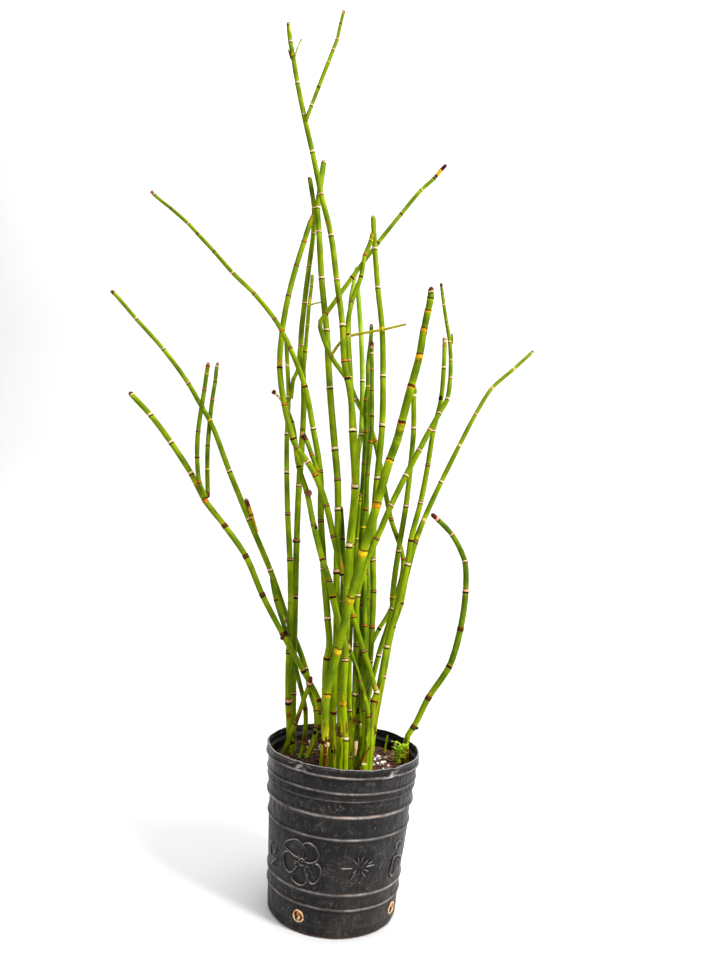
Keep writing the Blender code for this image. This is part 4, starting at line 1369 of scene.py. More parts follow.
@dataclass
class Pot:
    """The blow-moulded nursery pot: its wall, ornaments, drain holes and what shows in them."""

    rim_height: float = 202.4
    widest: float = 100
    foot_radius: float = 80
    wall_thickness: float = 1.9
    floor_thickness: float = 2.4
    columns: int = 252
    row_gap: float = 2.6
    rib_row_gap: float = 0.6
    extra_rows: Row = (0.5, 1.2, 188, 189, 190.2, 201.2, 201.9)
    ribs: tuple[Rib, ...] = (
        Rib(199.4, 0.3, 1.6, 0.05), Rib(191, 1.5, 1.6, 1), Rib(172.3, 1.5, 1.6, 0.8), Rib(163, 0.9, 1.2, 0.35),
        Rib(143.9, 2.2, 2.5, 1), Rib(117.5, 1.7, 1.8, 0.75), Rib(51.4, 1.7, 2.1, 0.8), Rib(34.2, 1.5, 1.7, 0.65),
        Rib(13, 0.3, 1.4, 0.08),
    )
    hole_turns: Row = (-27, 63, 153, 243)
    hole_height: float = 19.5
    hole_radius: float = 6.2
    ornament_highlight: float = 0.95
    bead_sides: int = 12
    halves: Row = (0, 180)
    creases: Row = (-29, 40.5)
    whitening_and_glints: tuple[WhiteningAndGlint, ...] = (
        WhiteningAndGlint(-31.5, 196, 13, 5, 28, 0.9), WhiteningAndGlint(-27, 193.5, 12, 4, -12, 0.5),
        WhiteningAndGlint(-23, 198.5, 9, 1.6, -20, 0.7), WhiteningAndGlint(-38, 198, 12, 1.5, 10, 0.6),
        WhiteningAndGlint(38, 193, 13, 5.5, 24, 0.9), WhiteningAndGlint(43, 196.5, 10, 4, 52, 0.55),
        WhiteningAndGlint(33, 190.5, 14, 1.4, 4, 0.8), WhiteningAndGlint(84, 192, 11, 2.2, 60, 0.7),
        WhiteningAndGlint(-72, 200, 9, 1.6, -30, 0.6), WhiteningAndGlint(-8, 199.5, 26, 1, 1, 0.45),
        WhiteningAndGlint(4, 145, 22, 1.3, 1, 0.6, T.TAN), WhiteningAndGlint(27, 145.2, 16, 1.6, 4, 0.6, T.TAN),
        WhiteningAndGlint(-4, 191.6, 24, 1.1, -1, 0.6, T.TAN), WhiteningAndGlint(10, 52.6, 20, 1.1, 2, 0.4, T.TAN),
        WhiteningAndGlint(18, 200.3, 30, 1, -1, 0.45), WhiteningAndGlint(150, 196, 14, 2.4, 30, 0.8),
        WhiteningAndGlint(228, 195, 12, 2, -35, 0.8),
    )
    lip_sides: int = 10
    root_tints: tuple[Tint, ...] = (T.ORANGE, T.RUST, T.DARK, T.SHELL, T.BROWN, T.ORANGE, T.RED)
    root_widths: Row = (0.5, 0.8, 1, 0.95, 1.05, 0.9, 1, 0.8, 0.45)
    roots: int = 17

    def row_heights(self) -> Array:
        """Heights of the rows of points up the wall, closer together at the ribs.

        Returns:
            The heights.
        """
        rows = set(np.round(np.arange(2.2, self.rim_height - 1, self.row_gap), 3))
        for rib in self.ribs:
            rows |= set(np.round(rib.height + np.arange(-5, 6) * self.rib_row_gap, 3))
        rows |= {*self.extra_rows, self.rim_height}
        ordered = np.array(sorted(h for h in rows if 0 < h <= self.rim_height))
        return ordered[np.concatenate([[True], np.diff(ordered) > 0.3])]

    def wall(self, heights: Array, turns: Array) -> tuple[Array, Array, Array]:
        """The wall's outer side.

        Args:
            heights: Heights of its rows.
            turns: Turns of its columns, in radians.

        Returns:
            Radius, height and paleness of each point, from abrasion and painted highlights.
        """
        level = heights[:, None]
        radius = np.repeat(wall_base(heights)[:, None], len(turns), axis=1)
        abrasion_and_painted_light = np.zeros_like(radius)
        for rib in self.ribs:
            over = rib.over(level, turns)
            radius += rib.rise * bell(over, rib.width)
            radius -= 0.5 * bell(over + rib.width * 2, 1.1)
            # A painted highlight along each rib's upper edge over a fainter band, partly abrasion
            shape = 0.72 * bell(over / rib.width - 0.35, 0.36) + 0.26 * bell(over / rib.width, 0.95)
            patchy = 0.62 + 0.38 * np.sin(7 * turns + rib.height * 0.7) * np.sin(3 * turns + 1.1)
            abrasion_and_painted_light += rib.abrasion_and_painted_light * shape * patchy
        wave = 0.5 * np.sin(2 * turns + 0.6) + 0.45 * np.sin(5 * turns + 1.9) + 0.3 * np.sin(11 * turns + 0.4)
        radius += ease(150, self.rim_height, level) * (wave - 0.5)
        radius += 0.35 * (np.sin(3 * turns + 0.8) * np.sin(level / 23))
        spots = [(99 * math.sin(t), 99 * math.cos(t), h) for h in heights for t in turns]
        dents = [0.6 * noise.noise(Vector(s) / 19) + 0.14 * noise.noise(Vector(s) / 7) for s in spots]
        radius += np.array(dents).reshape(radius.shape)
        rough = 0.28 * np.sin(17 * turns + 1) + 0.22 * np.sin(31 * turns + 2) + 0.5 * np.sin(4 * turns - 0.6)
        lip = ease(197, self.rim_height, level)
        height = level - lip * (0.95 + rough * 0.8)
        for crease in self.creases:
            away = np.degrees(off(turns, crease))
            fold = bell(away, 4.4) * ease(184, 193, level)
            radius -= 1.5 * fold * (1 - np.sin(away / 1.9 + level / 4))
            height = height - lip * 1.5 * bell(away, 2.2)
        edge = ease(201.6, self.rim_height, level)
        radius = radius - 0.7 * edge
        # The rim's edge is pale from abrasion and painted highlight, the foot from abrasion
        abrasion_and_painted_light = abrasion_and_painted_light + 0.7 * edge + 0.5 * ease(1.4, 0, level)
        return np.minimum(radius, self.widest), np.maximum(height, 0), np.clip(abrasion_and_painted_light, 0, 1)

    def opened(self, heights: Array, turns: Array, radius: Array) -> tuple[Array, Array, set]:
        """Fits the wall's points round the drain holes.

        Args:
            heights: Their heights.
            turns: Their turns, in radians.
            radius: Their radii.

        Returns:
            Their new heights and turns, and the (row, column) of those inside a hole.
        """
        inside = set()
        for hole in self.hole_turns:
            across = off(turns, hole) * radius
            up = heights - self.hole_height
            away = np.hypot(across, up)
            inside |= {(int(row), int(column)) for row, column in zip(*np.nonzero(away < self.hole_radius))}
            close = (away < self.hole_radius) & (away > 1e-6)
            scale = np.where(close, self.hole_radius / np.maximum(away, 1e-6), 1)
            turns = np.where(close, across * scale / radius + math.radians(hole), turns)
            heights = np.where(close, self.hole_height + up * scale, heights)
        return heights, turns, inside

    def shell(self) -> Sketch:
        """The pot's wall and floor, with its drain holes open.

        Returns:
            One closed skin.
        """
        columns = sides_round(self.columns)
        radius, height, abrasion_and_painted_light = self.wall(self.row_heights(), columns)
        height, turns, inside = self.opened(height, np.broadcast_to(columns, radius.shape), radius)
        rows, amount = radius.shape
        inner_height = np.maximum(height, self.floor_thickness)
        inner_height[-1] -= 0.35
        outer = round_pot(radius, turns, height).reshape(-1, 3)
        inner = round_pot(radius - self.wall_thickness, turns, inner_height).reshape(-1, 3)
        shift = rows * amount
        faces = []
        gone = set()
        for row in range(rows - 1):
            for column in range(amount):
                after = (column + 1) % amount
                corners = ((row, column), (row, after), (row + 1, after), (row + 1, column))
                if all(corner in inside for corner in corners):
                    gone.add((row, column))
                    continue
                face = [r * amount + k for r, k in corners]
                faces += [face, [corner + shift for corner in face[::-1]]]
        for row, column in gone:
            after = (column + 1) % amount
            sides = (
                ((row - 1, column), (row, column), (row, after)),
                ((row, after), (row, after), (row + 1, after)),
                ((row + 1, column), (row + 1, after), (row + 1, column)),
                ((row, (column - 1) % amount), (row + 1, column), (row, column)),
            )
            for neighbour, first, second in sides:
                if neighbour not in gone:
                    a, b = first[0] * amount + first[1], second[0] * amount + second[1]
                    faces.append([a, a + shift, b + shift, b])
        last = (rows - 1) * amount
        for column in range(amount):
            edge = [last + column, last + (column + 1) % amount]
            faces.append([*edge, edge[1] + shift, edge[0] + shift])
        faces += fans(amount, (2 * shift, 0, False), (2 * shift + 1, shift, True))
        outer[:amount, 2] = 0
        outer[:amount, :2] *= self.foot_radius / np.linalg.norm(outer[:amount, :2], axis=1, keepdims=True)
        points = np.concatenate([outer, inner, [[0, 0, 0], [0, 0, self.floor_thickness]]])
        paint = np.zeros((len(points), 4))
        paint[:shift] = self.stains(turns, height).reshape(-1, 4)
        # The inner wall gets half of the outer wall's pale crests, as painted highlights
        return Sketch().add(points, faces, paint, np.concatenate([abrasion_and_painted_light.ravel(), abrasion_and_painted_light.ravel() * 0.5, [0, 0]]))

    def stains(self, turns: Array, height: Array) -> Array:
        """Paint of the wall: painted shadows under and over each rib and under the lip, pale streaks of stress
        whitening and painted highlight, and brown along its foot.

        Args:
            turns: Its points' turns, in radians.
            height: Their heights.

        Returns:
            The paint.
        """
        paint = np.zeros((*height.shape, 4))
        for rib in self.ribs:
            # Painted shadows: a dark line under each rib and a thinner one over it
            for away, width, cover in ((-1.9, 1, 1.2), (1.5, 0.7, 0.8)):
                shadow = bell(rib.over(height, turns) - rib.width * away, width) * min(1, rib.abrasion_and_painted_light * cover)
                lay(paint, T.BLACK, shadow, shade=0.2)
        # Painted shade: a dark band just under the rim's lip
        lay(paint, T.BLACK, bell(height - 196.4, 2) * 0.8, shade=0.2)
        # Pale streaks: stress whitening with painted highlight on the folds, and painted glints along the ribs
        for pale_streak in self.whitening_and_glints:
            along = off(turns, pale_streak.turn) * wall_base(pale_streak.height)
            up = height - pale_streak.height
            slope = math.radians(pale_streak.slope)
            long = (along * math.cos(slope) + up * math.sin(slope)) / (pale_streak.length / 2)
            wide = (up * math.cos(slope) - along * math.sin(slope)) / (pale_streak.width / 2)
            lay(paint, pale_streak.tint, ease(1.3, 0.3, np.hypot(long, wide)) * pale_streak.cover)
        lay(paint, T.BROWN, ease(2.6, 0.6, height) * 0.8, shade=1.6)
        return paint

    def on_wall(self, turn: float, height: float, steps: Array, proud: float) -> Array:
        """Places that stand proud of the wall, at (right, up) steps from a turn and a height."""
        radius = wall_base(height + steps[:, 1]) + proud
        return round_pot(radius, math.radians(turn) + steps[:, 0] / radius, height + steps[:, 1])

    def add_bead(self, sketch: Sketch, half: float, motif: Motif, steps: tuple) -> None:
        """Adds a raised line of the ornaments, with painted shade on its flanks and a painted highlight along its top.

        Args:
            sketch: Where it goes.
            half: The turn of its half of the mould.
            motif: What it is part of.
            steps: (right, up) pairs that it follows.
        """
        width = motif.width
        line = Line(np.array([(x, y, 0) for x, y in steps], float), 60, 120)
        reach = line.reach[-1]
        distances = np.linspace(0, reach, max(5, int(reach / 1.1)))
        centres = self.on_wall(motif.turn + half, motif.height, line.at(distances)[:, :2], width * 0.06)
        ends = np.minimum(distances, reach - distances)
        radii = width / 2 * np.interp(ends, [0, width * 0.5, width], [0.35, 0.85, 1])
        front, right = frames(unit(np.gradient(centres, axis=0)))
        away = flat_unit(centres)
        ahead = np.arctan2(np.sum(away * right, axis=1), np.sum(away * front, axis=1))
        turns = sides_round(self.bead_sides)
        facing = np.cos(turns - ahead[:, None])
        rising = front[:, 2:] * np.cos(turns) + right[:, 2:] * np.sin(turns)
        # Painted shade: black on the bead's flanks, most of all on the lower ones
        paint = np.tile(painted(T.BLACK, 1, 0.2), (*facing.shape, 1))
        paint[..., 3] = ease(0.95, 0.6, facing + 0.25 * rising)
        patchy = (0.75 + 0.25 * np.sin(distances / 5))[:, None]
        # Painted highlight along the bead's top, brighter on its upper side
        crest = ease(0.9, 1.06, facing + 0.35 * rising) * self.ornament_highlight * patchy
        sketch.tube(centres, radii[:, None] * (1 + 1.1 * (1 - facing**2)), self.bead_sides, paint, crest)

    def ornaments(self) -> Sketch:
        """The raised flower, starburst and leaves between two ribs, the same on both halves of the mould.

        Returns:
            All their lines.
        """
        sketch = Sketch()
        for half in self.halves:
            for motif in MOTIFS:
                for steps in motif.lines:
                    self.add_bead(sketch, half, motif, steps)
        return sketch

    def drain_lips(self) -> Sketch:
        """The uneven raised ring round each drain hole.

        Returns:
            The rings.
        """
        sketch = Sketch()
        chance = Random(5)
        angles = np.linspace(0, ONCE_ROUND, 41)
        for turn in self.hole_turns:
            phase = chance.uniform(0, ONCE_ROUND)
            ring = self.hole_radius + 0.3 + 0.35 * np.sin(2 * angles + phase) * np.sin(angles)
            steps = np.stack([ring * np.cos(angles), ring * np.sin(angles)], axis=-1)
            steps[-1] = steps[0]
            radii = 0.95 + 0.16 * np.sin(5 * angles + phase) + 0.1 * np.sin(11 * angles)
            radii[-1] = radii[0]
            shade = 0.82 + 0.2 * np.sin(3 * angles + phase)
            paint = np.ones((len(angles), self.lip_sides, 4))
            paint[..., :3] = np.array(T.SHELL.linear) * shade[:, None, None]
            paint[:, 6:9, :3] = T.TAN.linear
            sketch.tube(self.on_wall(turn, self.hole_height, steps, 0.25), radii, self.lip_sides, paint)
        return sketch

    def add_root(self, sketch: Sketch, turn: float, chance: Random, tint: Tint) -> None:
        """Adds one root behind a drain hole.

        Args:
            sketch: Where it goes.
            turn: The hole's turn.
            chance: Shapes it.
            tint: Its colour.
        """
        lean = chance.uniform(-0.6, 0.6)
        across = chance.uniform(-5, 5)
        up = chance.uniform(-5, 5)
        size = math.sqrt(max(0, 1 - (up / 7) ** 2)) * chance.uniform(3.5, 6)
        shares = np.linspace(-1, 1, 9)
        steps = np.array([(across + lean * t * 4 + 1.2 * math.sin(t * 3), up + t * size) for t in shares])
        steps *= np.minimum(1, 6 / np.maximum(np.linalg.norm(steps, axis=1, keepdims=True), 1e-6))
        depth = -2.6 - chance.uniform(0, 2.2)
        centres = self.on_wall(turn, self.hole_height, steps, depth)
        centres += flat_unit(centres) * (np.sin(np.linspace(0, math.pi, 9)) * 1.4)[:, None]
        radii = chance.uniform(0.8, 1.5) * np.array(self.root_widths)
        # Painted light: each root is painted 1.3 to 2.3 times lighter than its tint, as if lit inside the dark hole
        sketch.tube(centres, radii, 8, painted(tint, 1, chance.uniform(1.3, 2.3)))

    def hole_roots(self) -> Sketch:
        """Wet amber roots that fill each drain hole from behind.

        Returns:
            The roots.
        """
        sketch = Sketch()
        chance = Random(11)
        for turn in self.hole_turns:
            for number in range(self.roots):
                self.add_root(sketch, turn, chance, self.root_tints[number % len(self.root_tints)])
            back = self.on_wall(turn, self.hole_height, np.zeros((1, 2)), -6.4)[0]
            plug = back - flat_unit(back) * np.linspace(-1.2, 2, 6)[:, None]
            sketch.tube(plug, np.array([4, 6.4, 7.2, 7.2, 6.4, 4]), 14, painted(T.DARK))
        return sketch

    def make(self) -> None:
        """Builds the pot in place of its node."""
        plastic = PotFinish().material()
        self.shell().piece("pot_wall", plastic, "pot_plastic", "nursery_pot")
        self.ornaments().piece("pot_ornaments", plastic, "pot_plastic")
        lips = CrumbFinish("drain_lip", 420, 0.2, 0.55, 0.3, 0.3).material()
        self.drain_lips().piece("drain_hole_lips", lips, "pot_plastic")
        roots = CrumbFinish("wet_roots", 300, 0.2, 0.28, 0.35, 0.6).material()
        self.hole_roots().piece("drain_hole_roots", roots, "soil_mix")


@dataclass
class Soil:
    """Bark and peat mix in the pot, with the chips, fibres and white grains on it."""

    pot: Pot
    level: float = 179.5
    mound_place: tuple[float, float] = (-34, 62)
    mound_height: float = 6
    mound_spread: float = 30
    bottom: float = 3
    body_heights: Row = (30, 50, 75, 100, 116, 130, 140, 148, 158, 168)
    edge_gap: float = 2.2
    rings: int = 74
    columns: int = 280
    reach: float = 91
    chips: int = 620
    chip_tints: tuple[Tint, ...] = (T.BARK, T.EARTH, T.BROWN, T.BARK, T.GREY_BROWN, T.DARK)
    fibres: int = 230
    pale_fibres: int = 12
    fibre_tints: tuple[Tint, ...] = (T.STRAW, T.BROWN, T.GREY_BROWN, T.BARK, T.ORANGE)
    fibre_widths: Row = (0.5, 0.8, 1, 1, 0.9, 0.9, 0.8, 0.6, 0.3)
    grains: int = 64
    patch_grains: int = 26
    large_grains: tuple[tuple[float, float, float], ...] = (
        (47, 24, 2.5), (52, 4, 3), (57, 22, 2.2), (42, 10, 2.2), (39, 30, 1.9), (61, 36, 1.9), (53, -19, 2),
        (46, 0, 1.9), (49, 14, 1.8), (56, 10, 1.9), (44, 20, 1.6), (60, -6, 1.7), (50, 30, 1.5), (41, -2, 1.7),
    )

    def height(self, x: float, y: float) -> float:
        """Height of the soil's top.

        Args:
            x: How far right.
            y: How far back.

        Returns:
            The height.
        """
        away = math.hypot(x - self.mound_place[0], y - self.mound_place[1])
        mound = self.mound_height * math.exp(-((away / self.mound_spread) ** 2))
        wide = noise.noise(Vector((x, y, 0)) / 22) * 1.3
        clods = noise.noise(Vector((x * 1.3 - y * 0.7, y, 40)) / 8) * 2.3
        crumbs = noise.noise(Vector((x, y, 80)) / 2.6) * 0.9
        edge = 1.5 * max(0, (math.hypot(x, y) - 80) / 14)
        return self.level + mound + wide + clods + crumbs - edge

    @staticmethod
    def light(x: float | Array) -> Array:
        """How light the mix is: darker at the left and chocolate brown at the right."""
        return 0.42 + 0.68 * ease(-25, 35, x)

    def ground(self) -> Sketch:
        """The lumpy top and the plain body below it.

        Returns:
            One closed skin.
        """
        angles = sides_round(self.columns)
        levels = np.array([self.bottom, *self.body_heights, self.level - 1.5])
        wall = self.pot.wall(levels, angles)[0] - self.edge_gap
        rows = [round_pot(radii, angles, level) for level, radii in zip(levels[:-1], wall[:-1])]
        for share in np.linspace(1, 0.008, self.rings):
            rows.append(np.array([(x, y, self.height(x, y)) for x, y, _ in round_pot(share * wall[-1], angles, 0)]))
        centre = len(rows) * self.columns
        faces = grid_faces(len(rows), self.columns)
        faces += fans(self.columns, (centre, centre - self.columns, True), (centre + 1, 0, False))
        points = np.concatenate([*rows, [[0, 0, self.height(0, 0)], [0, 0, self.bottom]]])
        tone = np.array([noise.noise(Vector(p) / 9) for p in points])
        paint = np.ones((len(points), 4))
        paint[:, :3] = blended(T.EARTH, T.BARK, ease(-0.25, 0.35, tone)[:, None]) * self.light(points[:, 0])[:, None]
        return Sketch().add(points, faces, paint)

    def spot(self, chance: Random, reach: float = 90) -> tuple[float, float]:
        """A random place on the soil, spread evenly."""
        radius, angle = reach * math.sqrt(chance.random()), chance.uniform(0, ONCE_ROUND)
        return radius * math.sin(angle), -radius * math.cos(angle)

    def add_lump(self, sketch: Sketch, place: Vector, size: Vector, chance: Random, tint: Array, fine: int) -> None:
        """Adds one knobbly lump.

        Args:
            sketch: Where it goes.
            place: Its centre.
            size: Its half sizes.
            chance: Shapes it.
            tint: Its paint.
            fine: How finely it is split.
        """
        shape = bmesh.new()
        bmesh.ops.create_icosphere(shape, subdivisions=fine, radius=1)
        turn = Matrix.Rotation(chance.uniform(0, ONCE_ROUND), 4, "Z")
        turn = turn @ Matrix.Rotation(chance.uniform(-0.5, 0.5), 4, "X")
        seed = Vector((chance.uniform(0, 99), chance.uniform(0, 99), chance.uniform(0, 99)))
        points = []
        for vertex in shape.verts:
            knob = 1 + 0.45 * noise.noise(vertex.co * 1.4 + seed)
            points.append(place + turn @ Vector(c * s * knob for c, s in zip(vertex.co, size)))
        faces = [[v.index for v in face.verts] for face in shape.faces]
        shape.free()
        sketch.add(np.array(points), faces, tint)

    def scattered_chips(self) -> Sketch:
        """Flat chips of bark and rotten wood.

        Returns:
            The chips.
        """
        sketch = Sketch()
        chance = Random(21)
        for number in range(self.chips):
            x, y = self.spot(chance)
            long = chance.uniform(1.2, 4.6)
            size = Vector((long, long * chance.uniform(0.25, 0.6), chance.uniform(0.4, 1.1)))
            place = Vector((x, y, self.height(x, y) + size.z * 0.5))
            shade = chance.uniform(0.6, 1.25) * float(self.light(x))
            tint = painted(self.chip_tints[number % len(self.chip_tints)], 1, shade)
            self.add_lump(sketch, place, size, chance, tint, 1)
        return sketch

    def scattered_fibres(self) -> Sketch:
        """Thin dry roots and shreds.

        Returns:
            The fibres.
        """
        sketch = Sketch()
        chance = Random(22)
        for number in range(self.fibres):
            pale = number < self.pale_fibres
            x, y = (chance.uniform(-48, -24), chance.uniform(-6, 34)) if pale else self.spot(chance, 88)
            length = chance.uniform(5, 20)
            heading = chance.uniform(0, ONCE_ROUND)
            bend = chance.uniform(-1.6, 1.6)
            centres = []
            for step in range(9):
                centres.append((x, y, self.height(x, y) + 0.5 + 1.5 * math.sin(step / 8 * math.pi) * chance.random()))
                heading += bend / 8 + chance.uniform(-0.25, 0.25)
                x += math.cos(heading) * length / 8
                y += math.sin(heading) * length / 8
                away = math.hypot(x, y)
                x, y = (x, y) if away < self.reach else (x * self.reach / away, y * self.reach / away)
            radii = chance.uniform(0.2, 0.55) * np.array(self.fibre_widths) * (1.7 if pale else 1)
            tint = T.CREAM if pale else self.fibre_tints[number % len(self.fibre_tints)]
            sketch.tube(np.array(centres), radii, 5, painted(tint, 1, chance.uniform(0.6, 1.1)))
        return sketch

    def scattered_grains(self) -> Sketch:
        """White grains, most of them in one patch at the right.

        Returns:
            The grains.
        """
        sketch = Sketch()
        chance = Random(23)
        for number in range(self.grains):
            if number < len(self.large_grains):
                x, y, size = self.large_grains[number]
            elif number < self.patch_grains:
                x, y = 50 + chance.gauss(0, 9), 12 + chance.gauss(0, 17)
                size = chance.uniform(0.5, 1)
            else:
                x, y = self.spot(chance)
                size = chance.uniform(0.5, 1.6)
            place = Vector((x, y, self.height(x, y) + size * 0.45))
            shape = Vector((size, size * chance.uniform(0.7, 1), size * chance.uniform(0.6, 0.9)))
            self.add_lump(sketch, place, shape, chance, painted(T.WHITE, 1, chance.uniform(0.8, 1.05)), 2)
        return sketch

    def make(self) -> None:
        """Builds the soil in place of its node, up to the wall of its pot."""
        layers = (
            ("soil_top", self.ground(), CrumbFinish("soil_ground", 330, 1.1), "soil"),
            ("soil_chips", self.scattered_chips(), CrumbFinish("bark_chip", 420, 0.4, 0.85, 0.5), ""),
            ("soil_fibres", self.scattered_fibres(), CrumbFinish("dry_fibre", 500, 0.15, 0.8, 0.4), ""),
            ("soil_grains", self.scattered_grains(), CrumbFinish("white_grain", 900, 0.3, 0.85, 0.15), ""),
        )
        for name, sketch, finish, node in layers:
            sketch.piece(name, finish.material(), "soil_mix", node)


@dataclass
class Seedling:
    """The weed seedling at the right: thin shoots with small narrow leaves in pairs."""

    place: tuple[float, float] = (74, 10)
    foot: float = 180
    height: float = 30
    spread: float = 9
    shoots: int = 9
    leaf_pairs: int = 4
    leaf_length: float = 8.6
    leaf_width: float = 5.4
    leaf_rows: int = 7

    def add_leaf(self, sketch: Sketch, start: Array, way: Array, size: float, shade: float) -> None:
        """Adds one leaf with a keel along its middle.

        Args:
            sketch: Where it goes.
            start: Its foot.
            way: Where it grows to.
            size: Its length.
            shade: How light it is.
        """
        way = unit(way)
        side = unit(np.cross(way, np.array([0, 0, 1])))
        up = np.cross(side, way)
        shares = np.linspace(0, 1, self.leaf_rows)
        half = self.leaf_width / self.leaf_length * size / 2 * np.sin(np.pi * shares**0.8) ** 0.8 + 0.06
        middle = start + way * (shares * size)[:, None] + up * (-0.28 * size * shares**2)[:, None]
        raised = up * (half * 0.35)[:, None]
        across = side * half[:, None]
        rows = np.stack([middle + across + raised, middle + up * 0.18, middle - across + raised, middle - up * 0.18], 1)
        crest = np.tile([0.3, 1, 0.3, 0.2], self.leaf_rows)
        sketch.add(rows, grid_faces(self.leaf_rows, 4, capped=True), painted(T.LIME, 1, shade), crest)

    def sketch(self) -> Sketch:
        """All shoots and leaves.

        Returns:
            The seedling.
        """
        sketch = Sketch()
        chance = Random(31)
        for number in range(self.shoots):
            heading = number * 2.4
            out = np.array([math.cos(heading), math.sin(heading), 0])
            lean = self.spread * chance.uniform(0.25, 1)
            height = self.height * chance.uniform(0.55, 1)
            foot = np.array([*self.place, self.foot]) + out * 2
            tip = foot + out * lean + np.array([0, 0, height])
            bend = (foot + tip) / 2 + np.array([0, 0, height * 0.12]) - out * lean * 0.15
            line = Line(np.array([foot, bend, tip]), 60, 90)
            distances = np.linspace(0, line.reach[-1], 12)
            radii = np.interp(distances, [0, distances[-1]], [1.3, 0.7])
            sketch.tube(line.at(distances), radii, 6, painted(T.LIME, 1, 0.8), np.full((12, 6), 0.3))
            for pair in range(self.leaf_pairs):
                share = 0.1 + 0.9 * (pair + 1) / self.leaf_pairs
                start = line.at(np.array([share * line.reach[-1]]))[0]
                turn = heading + pair * 1.57
                for side in (0, math.pi):
                    way = np.array([math.cos(turn + side), math.sin(turn + side), chance.uniform(0.2, 0.9)])
                    size = self.leaf_length * chance.uniform(0.6, 1)
                    # Painted shade: leaves low on a shoot are painted darker than those near its tip, with some random
                    # lightness too
                    self.add_leaf(sketch, start, way, size, chance.uniform(0.55, 1.25) * (0.35 + 0.65 * share))
        return sketch

    def make(self) -> None:
        """Builds the seedling in place of its node."""
        self.sketch().piece("seedling_shoots", LeafFinish().material(), "seedling_leaf", "seedling_clump")


@dataclass
class Remains:
    """Dry leftovers at the foot of the clump: a peeled sheath, curled strips and a cut stump."""

    nodes: dict[str, Object]
    sheath: Material
    green: Material
    slot: str = "straw_remains"
    thickness: float = 0.45
    columns: int = 11
    peel_rows: int = 22
    curl_rows: int = 26
    stump_sides: int = 28

    def add_strip(
        self, sketch: Sketch, centres: Array, radii: Array, turns: Array, span: float, tints: tuple[Tint, Tint]
    ) -> None:
        """Adds a curved strip of dead skin.

        Args:
            sketch: Where it goes.
            centres: The line that it curls round.
            radii: How far it is from that line.
            turns: Which way its middle faces, in degrees.
            span: How far it reaches round, in degrees.
            tints: Its colours at foot and top.
        """
        angle = np.radians(turns)[:, None] + np.radians(np.linspace(-span / 2, span / 2, self.columns))
        away = outward(unit(np.gradient(centres, axis=0)), angle)
        outer = centres[:, None] + away * radii[:, None, None]
        inner = centres[:, None] + away * (radii - self.thickness)[:, None, None]
        loop = np.concatenate([outer, inner[:, ::-1]], axis=1)
        rows, columns = loop.shape[:2]
        paint = np.ones((rows, columns, 4))
        paint[..., :3] = blended(*tints, np.linspace(0, 1, rows)[:, None, None])
        paint[-2:, :, :3] = T.BROWN.linear
        sketch.add(loop, grid_faces(rows, columns, capped=True), paint, 1)

    def peel(self) -> None:
        """Builds the dry sheath that stands between the stems."""
        rings = rings_of(self.nodes["dry_peel"])
        line = Line(np.array([centre for centre, _ in rings]))
        distances = np.linspace(-1, line.reach[-1], self.peel_rows)
        widths = np.interp(distances, [-1, 4, 8, line.reach[-1]], [0.8, 1.1, 1.45, 1.35])
        sketch = Sketch()
        turns = np.linspace(-20, 25, self.peel_rows)
        self.add_strip(sketch, line.at(distances), rings[0][1] * widths, turns, 210, (T.PEACH, T.SHELL))
        sketch.piece("dry_peel_strip", self.sheath, self.slot, "dry_peel")

    def curl(self) -> None:
        """Builds the pale strips that curl away to the right."""
        line = Line(np.array([centre for centre, _ in rings_of(self.nodes["dry_curl"])]), 60, 90)
        base = line.at(np.linspace(-12, line.reach[-1], self.curl_rows))
        swing = np.sin(np.linspace(0, 2.6, self.curl_rows))
        shares = np.linspace(0, 1, self.curl_rows)
        sketch = Sketch()
        for number, (offset, turn) in enumerate(((-0.4, -50), (0.4, 20))):
            centres = base + np.stack([offset - swing * 1.6, swing * 0.6, 0 * swing], axis=-1)
            radii = np.interp(shares, [0, 0.5, 1], [1.35, 1.2, 0.6]) - number * 0.25
            self.add_strip(sketch, centres, radii, turn + 60 * shares, 100, (T.GOLD, T.BROWN))
        sketch.piece("dry_curl_strips", self.sheath, self.slot, "dry_curl")

    def stump(self) -> None:
        """Builds the hollow stump of a cut stem, from its foot over its edge and down its bore."""
        rings = rings_of(self.nodes["cut_stump"])
        line = Line(np.array([centre for centre, _ in rings]))
        radius = rings[0][1]
        top = line.reach[-1]
        outline = (
            (0, 1), (6, 1.02), (12, 1), (18, 1), (24, 1), (top - 2.5, 1), (top - 0.7, 0.99),
            (top - 0.1, 0.93), (top, 0.84), (top - 0.5, 0.74), (top - 4, 0.7), (top - 10, 0.66),
        )
        distances = np.array([place for place, _ in outline])
        crests = np.tile([1, 0], self.stump_sides // 2)
        radii = np.array([radius * width for _, width in outline])[:, None] + 0.13 * (crests - 0.5)
        centres = line.at(distances)
        angle = sides_round(self.stump_sides)
        away = outward(np.broadcast_to(line.tangent(top), centres.shape), angle)
        points = centres[:, None] + away * radii[..., None]
        points[6:10, :, 2] += 0.35 * np.sin(3 * angle)
        paint = np.zeros((*radii.shape, 4))
        paint[:7] = painted(T.LIME, 0.8, 0.75)
        paint[7:10] = painted(T.CREAM)
        # Painted shade: the bore is straw at half its lightness
        paint[10:] = painted(T.STRAW, 1, 0.5)
        faces = grid_faces(*radii.shape, capped=True)
        skin = unrolled(radii, angle, distances)
        sketch = Sketch().add(points, faces, paint, np.tile(crests, len(outline)), skin)
        sketch.piece("cut_stump_skin", self.green, self.slot, "cut_stump")


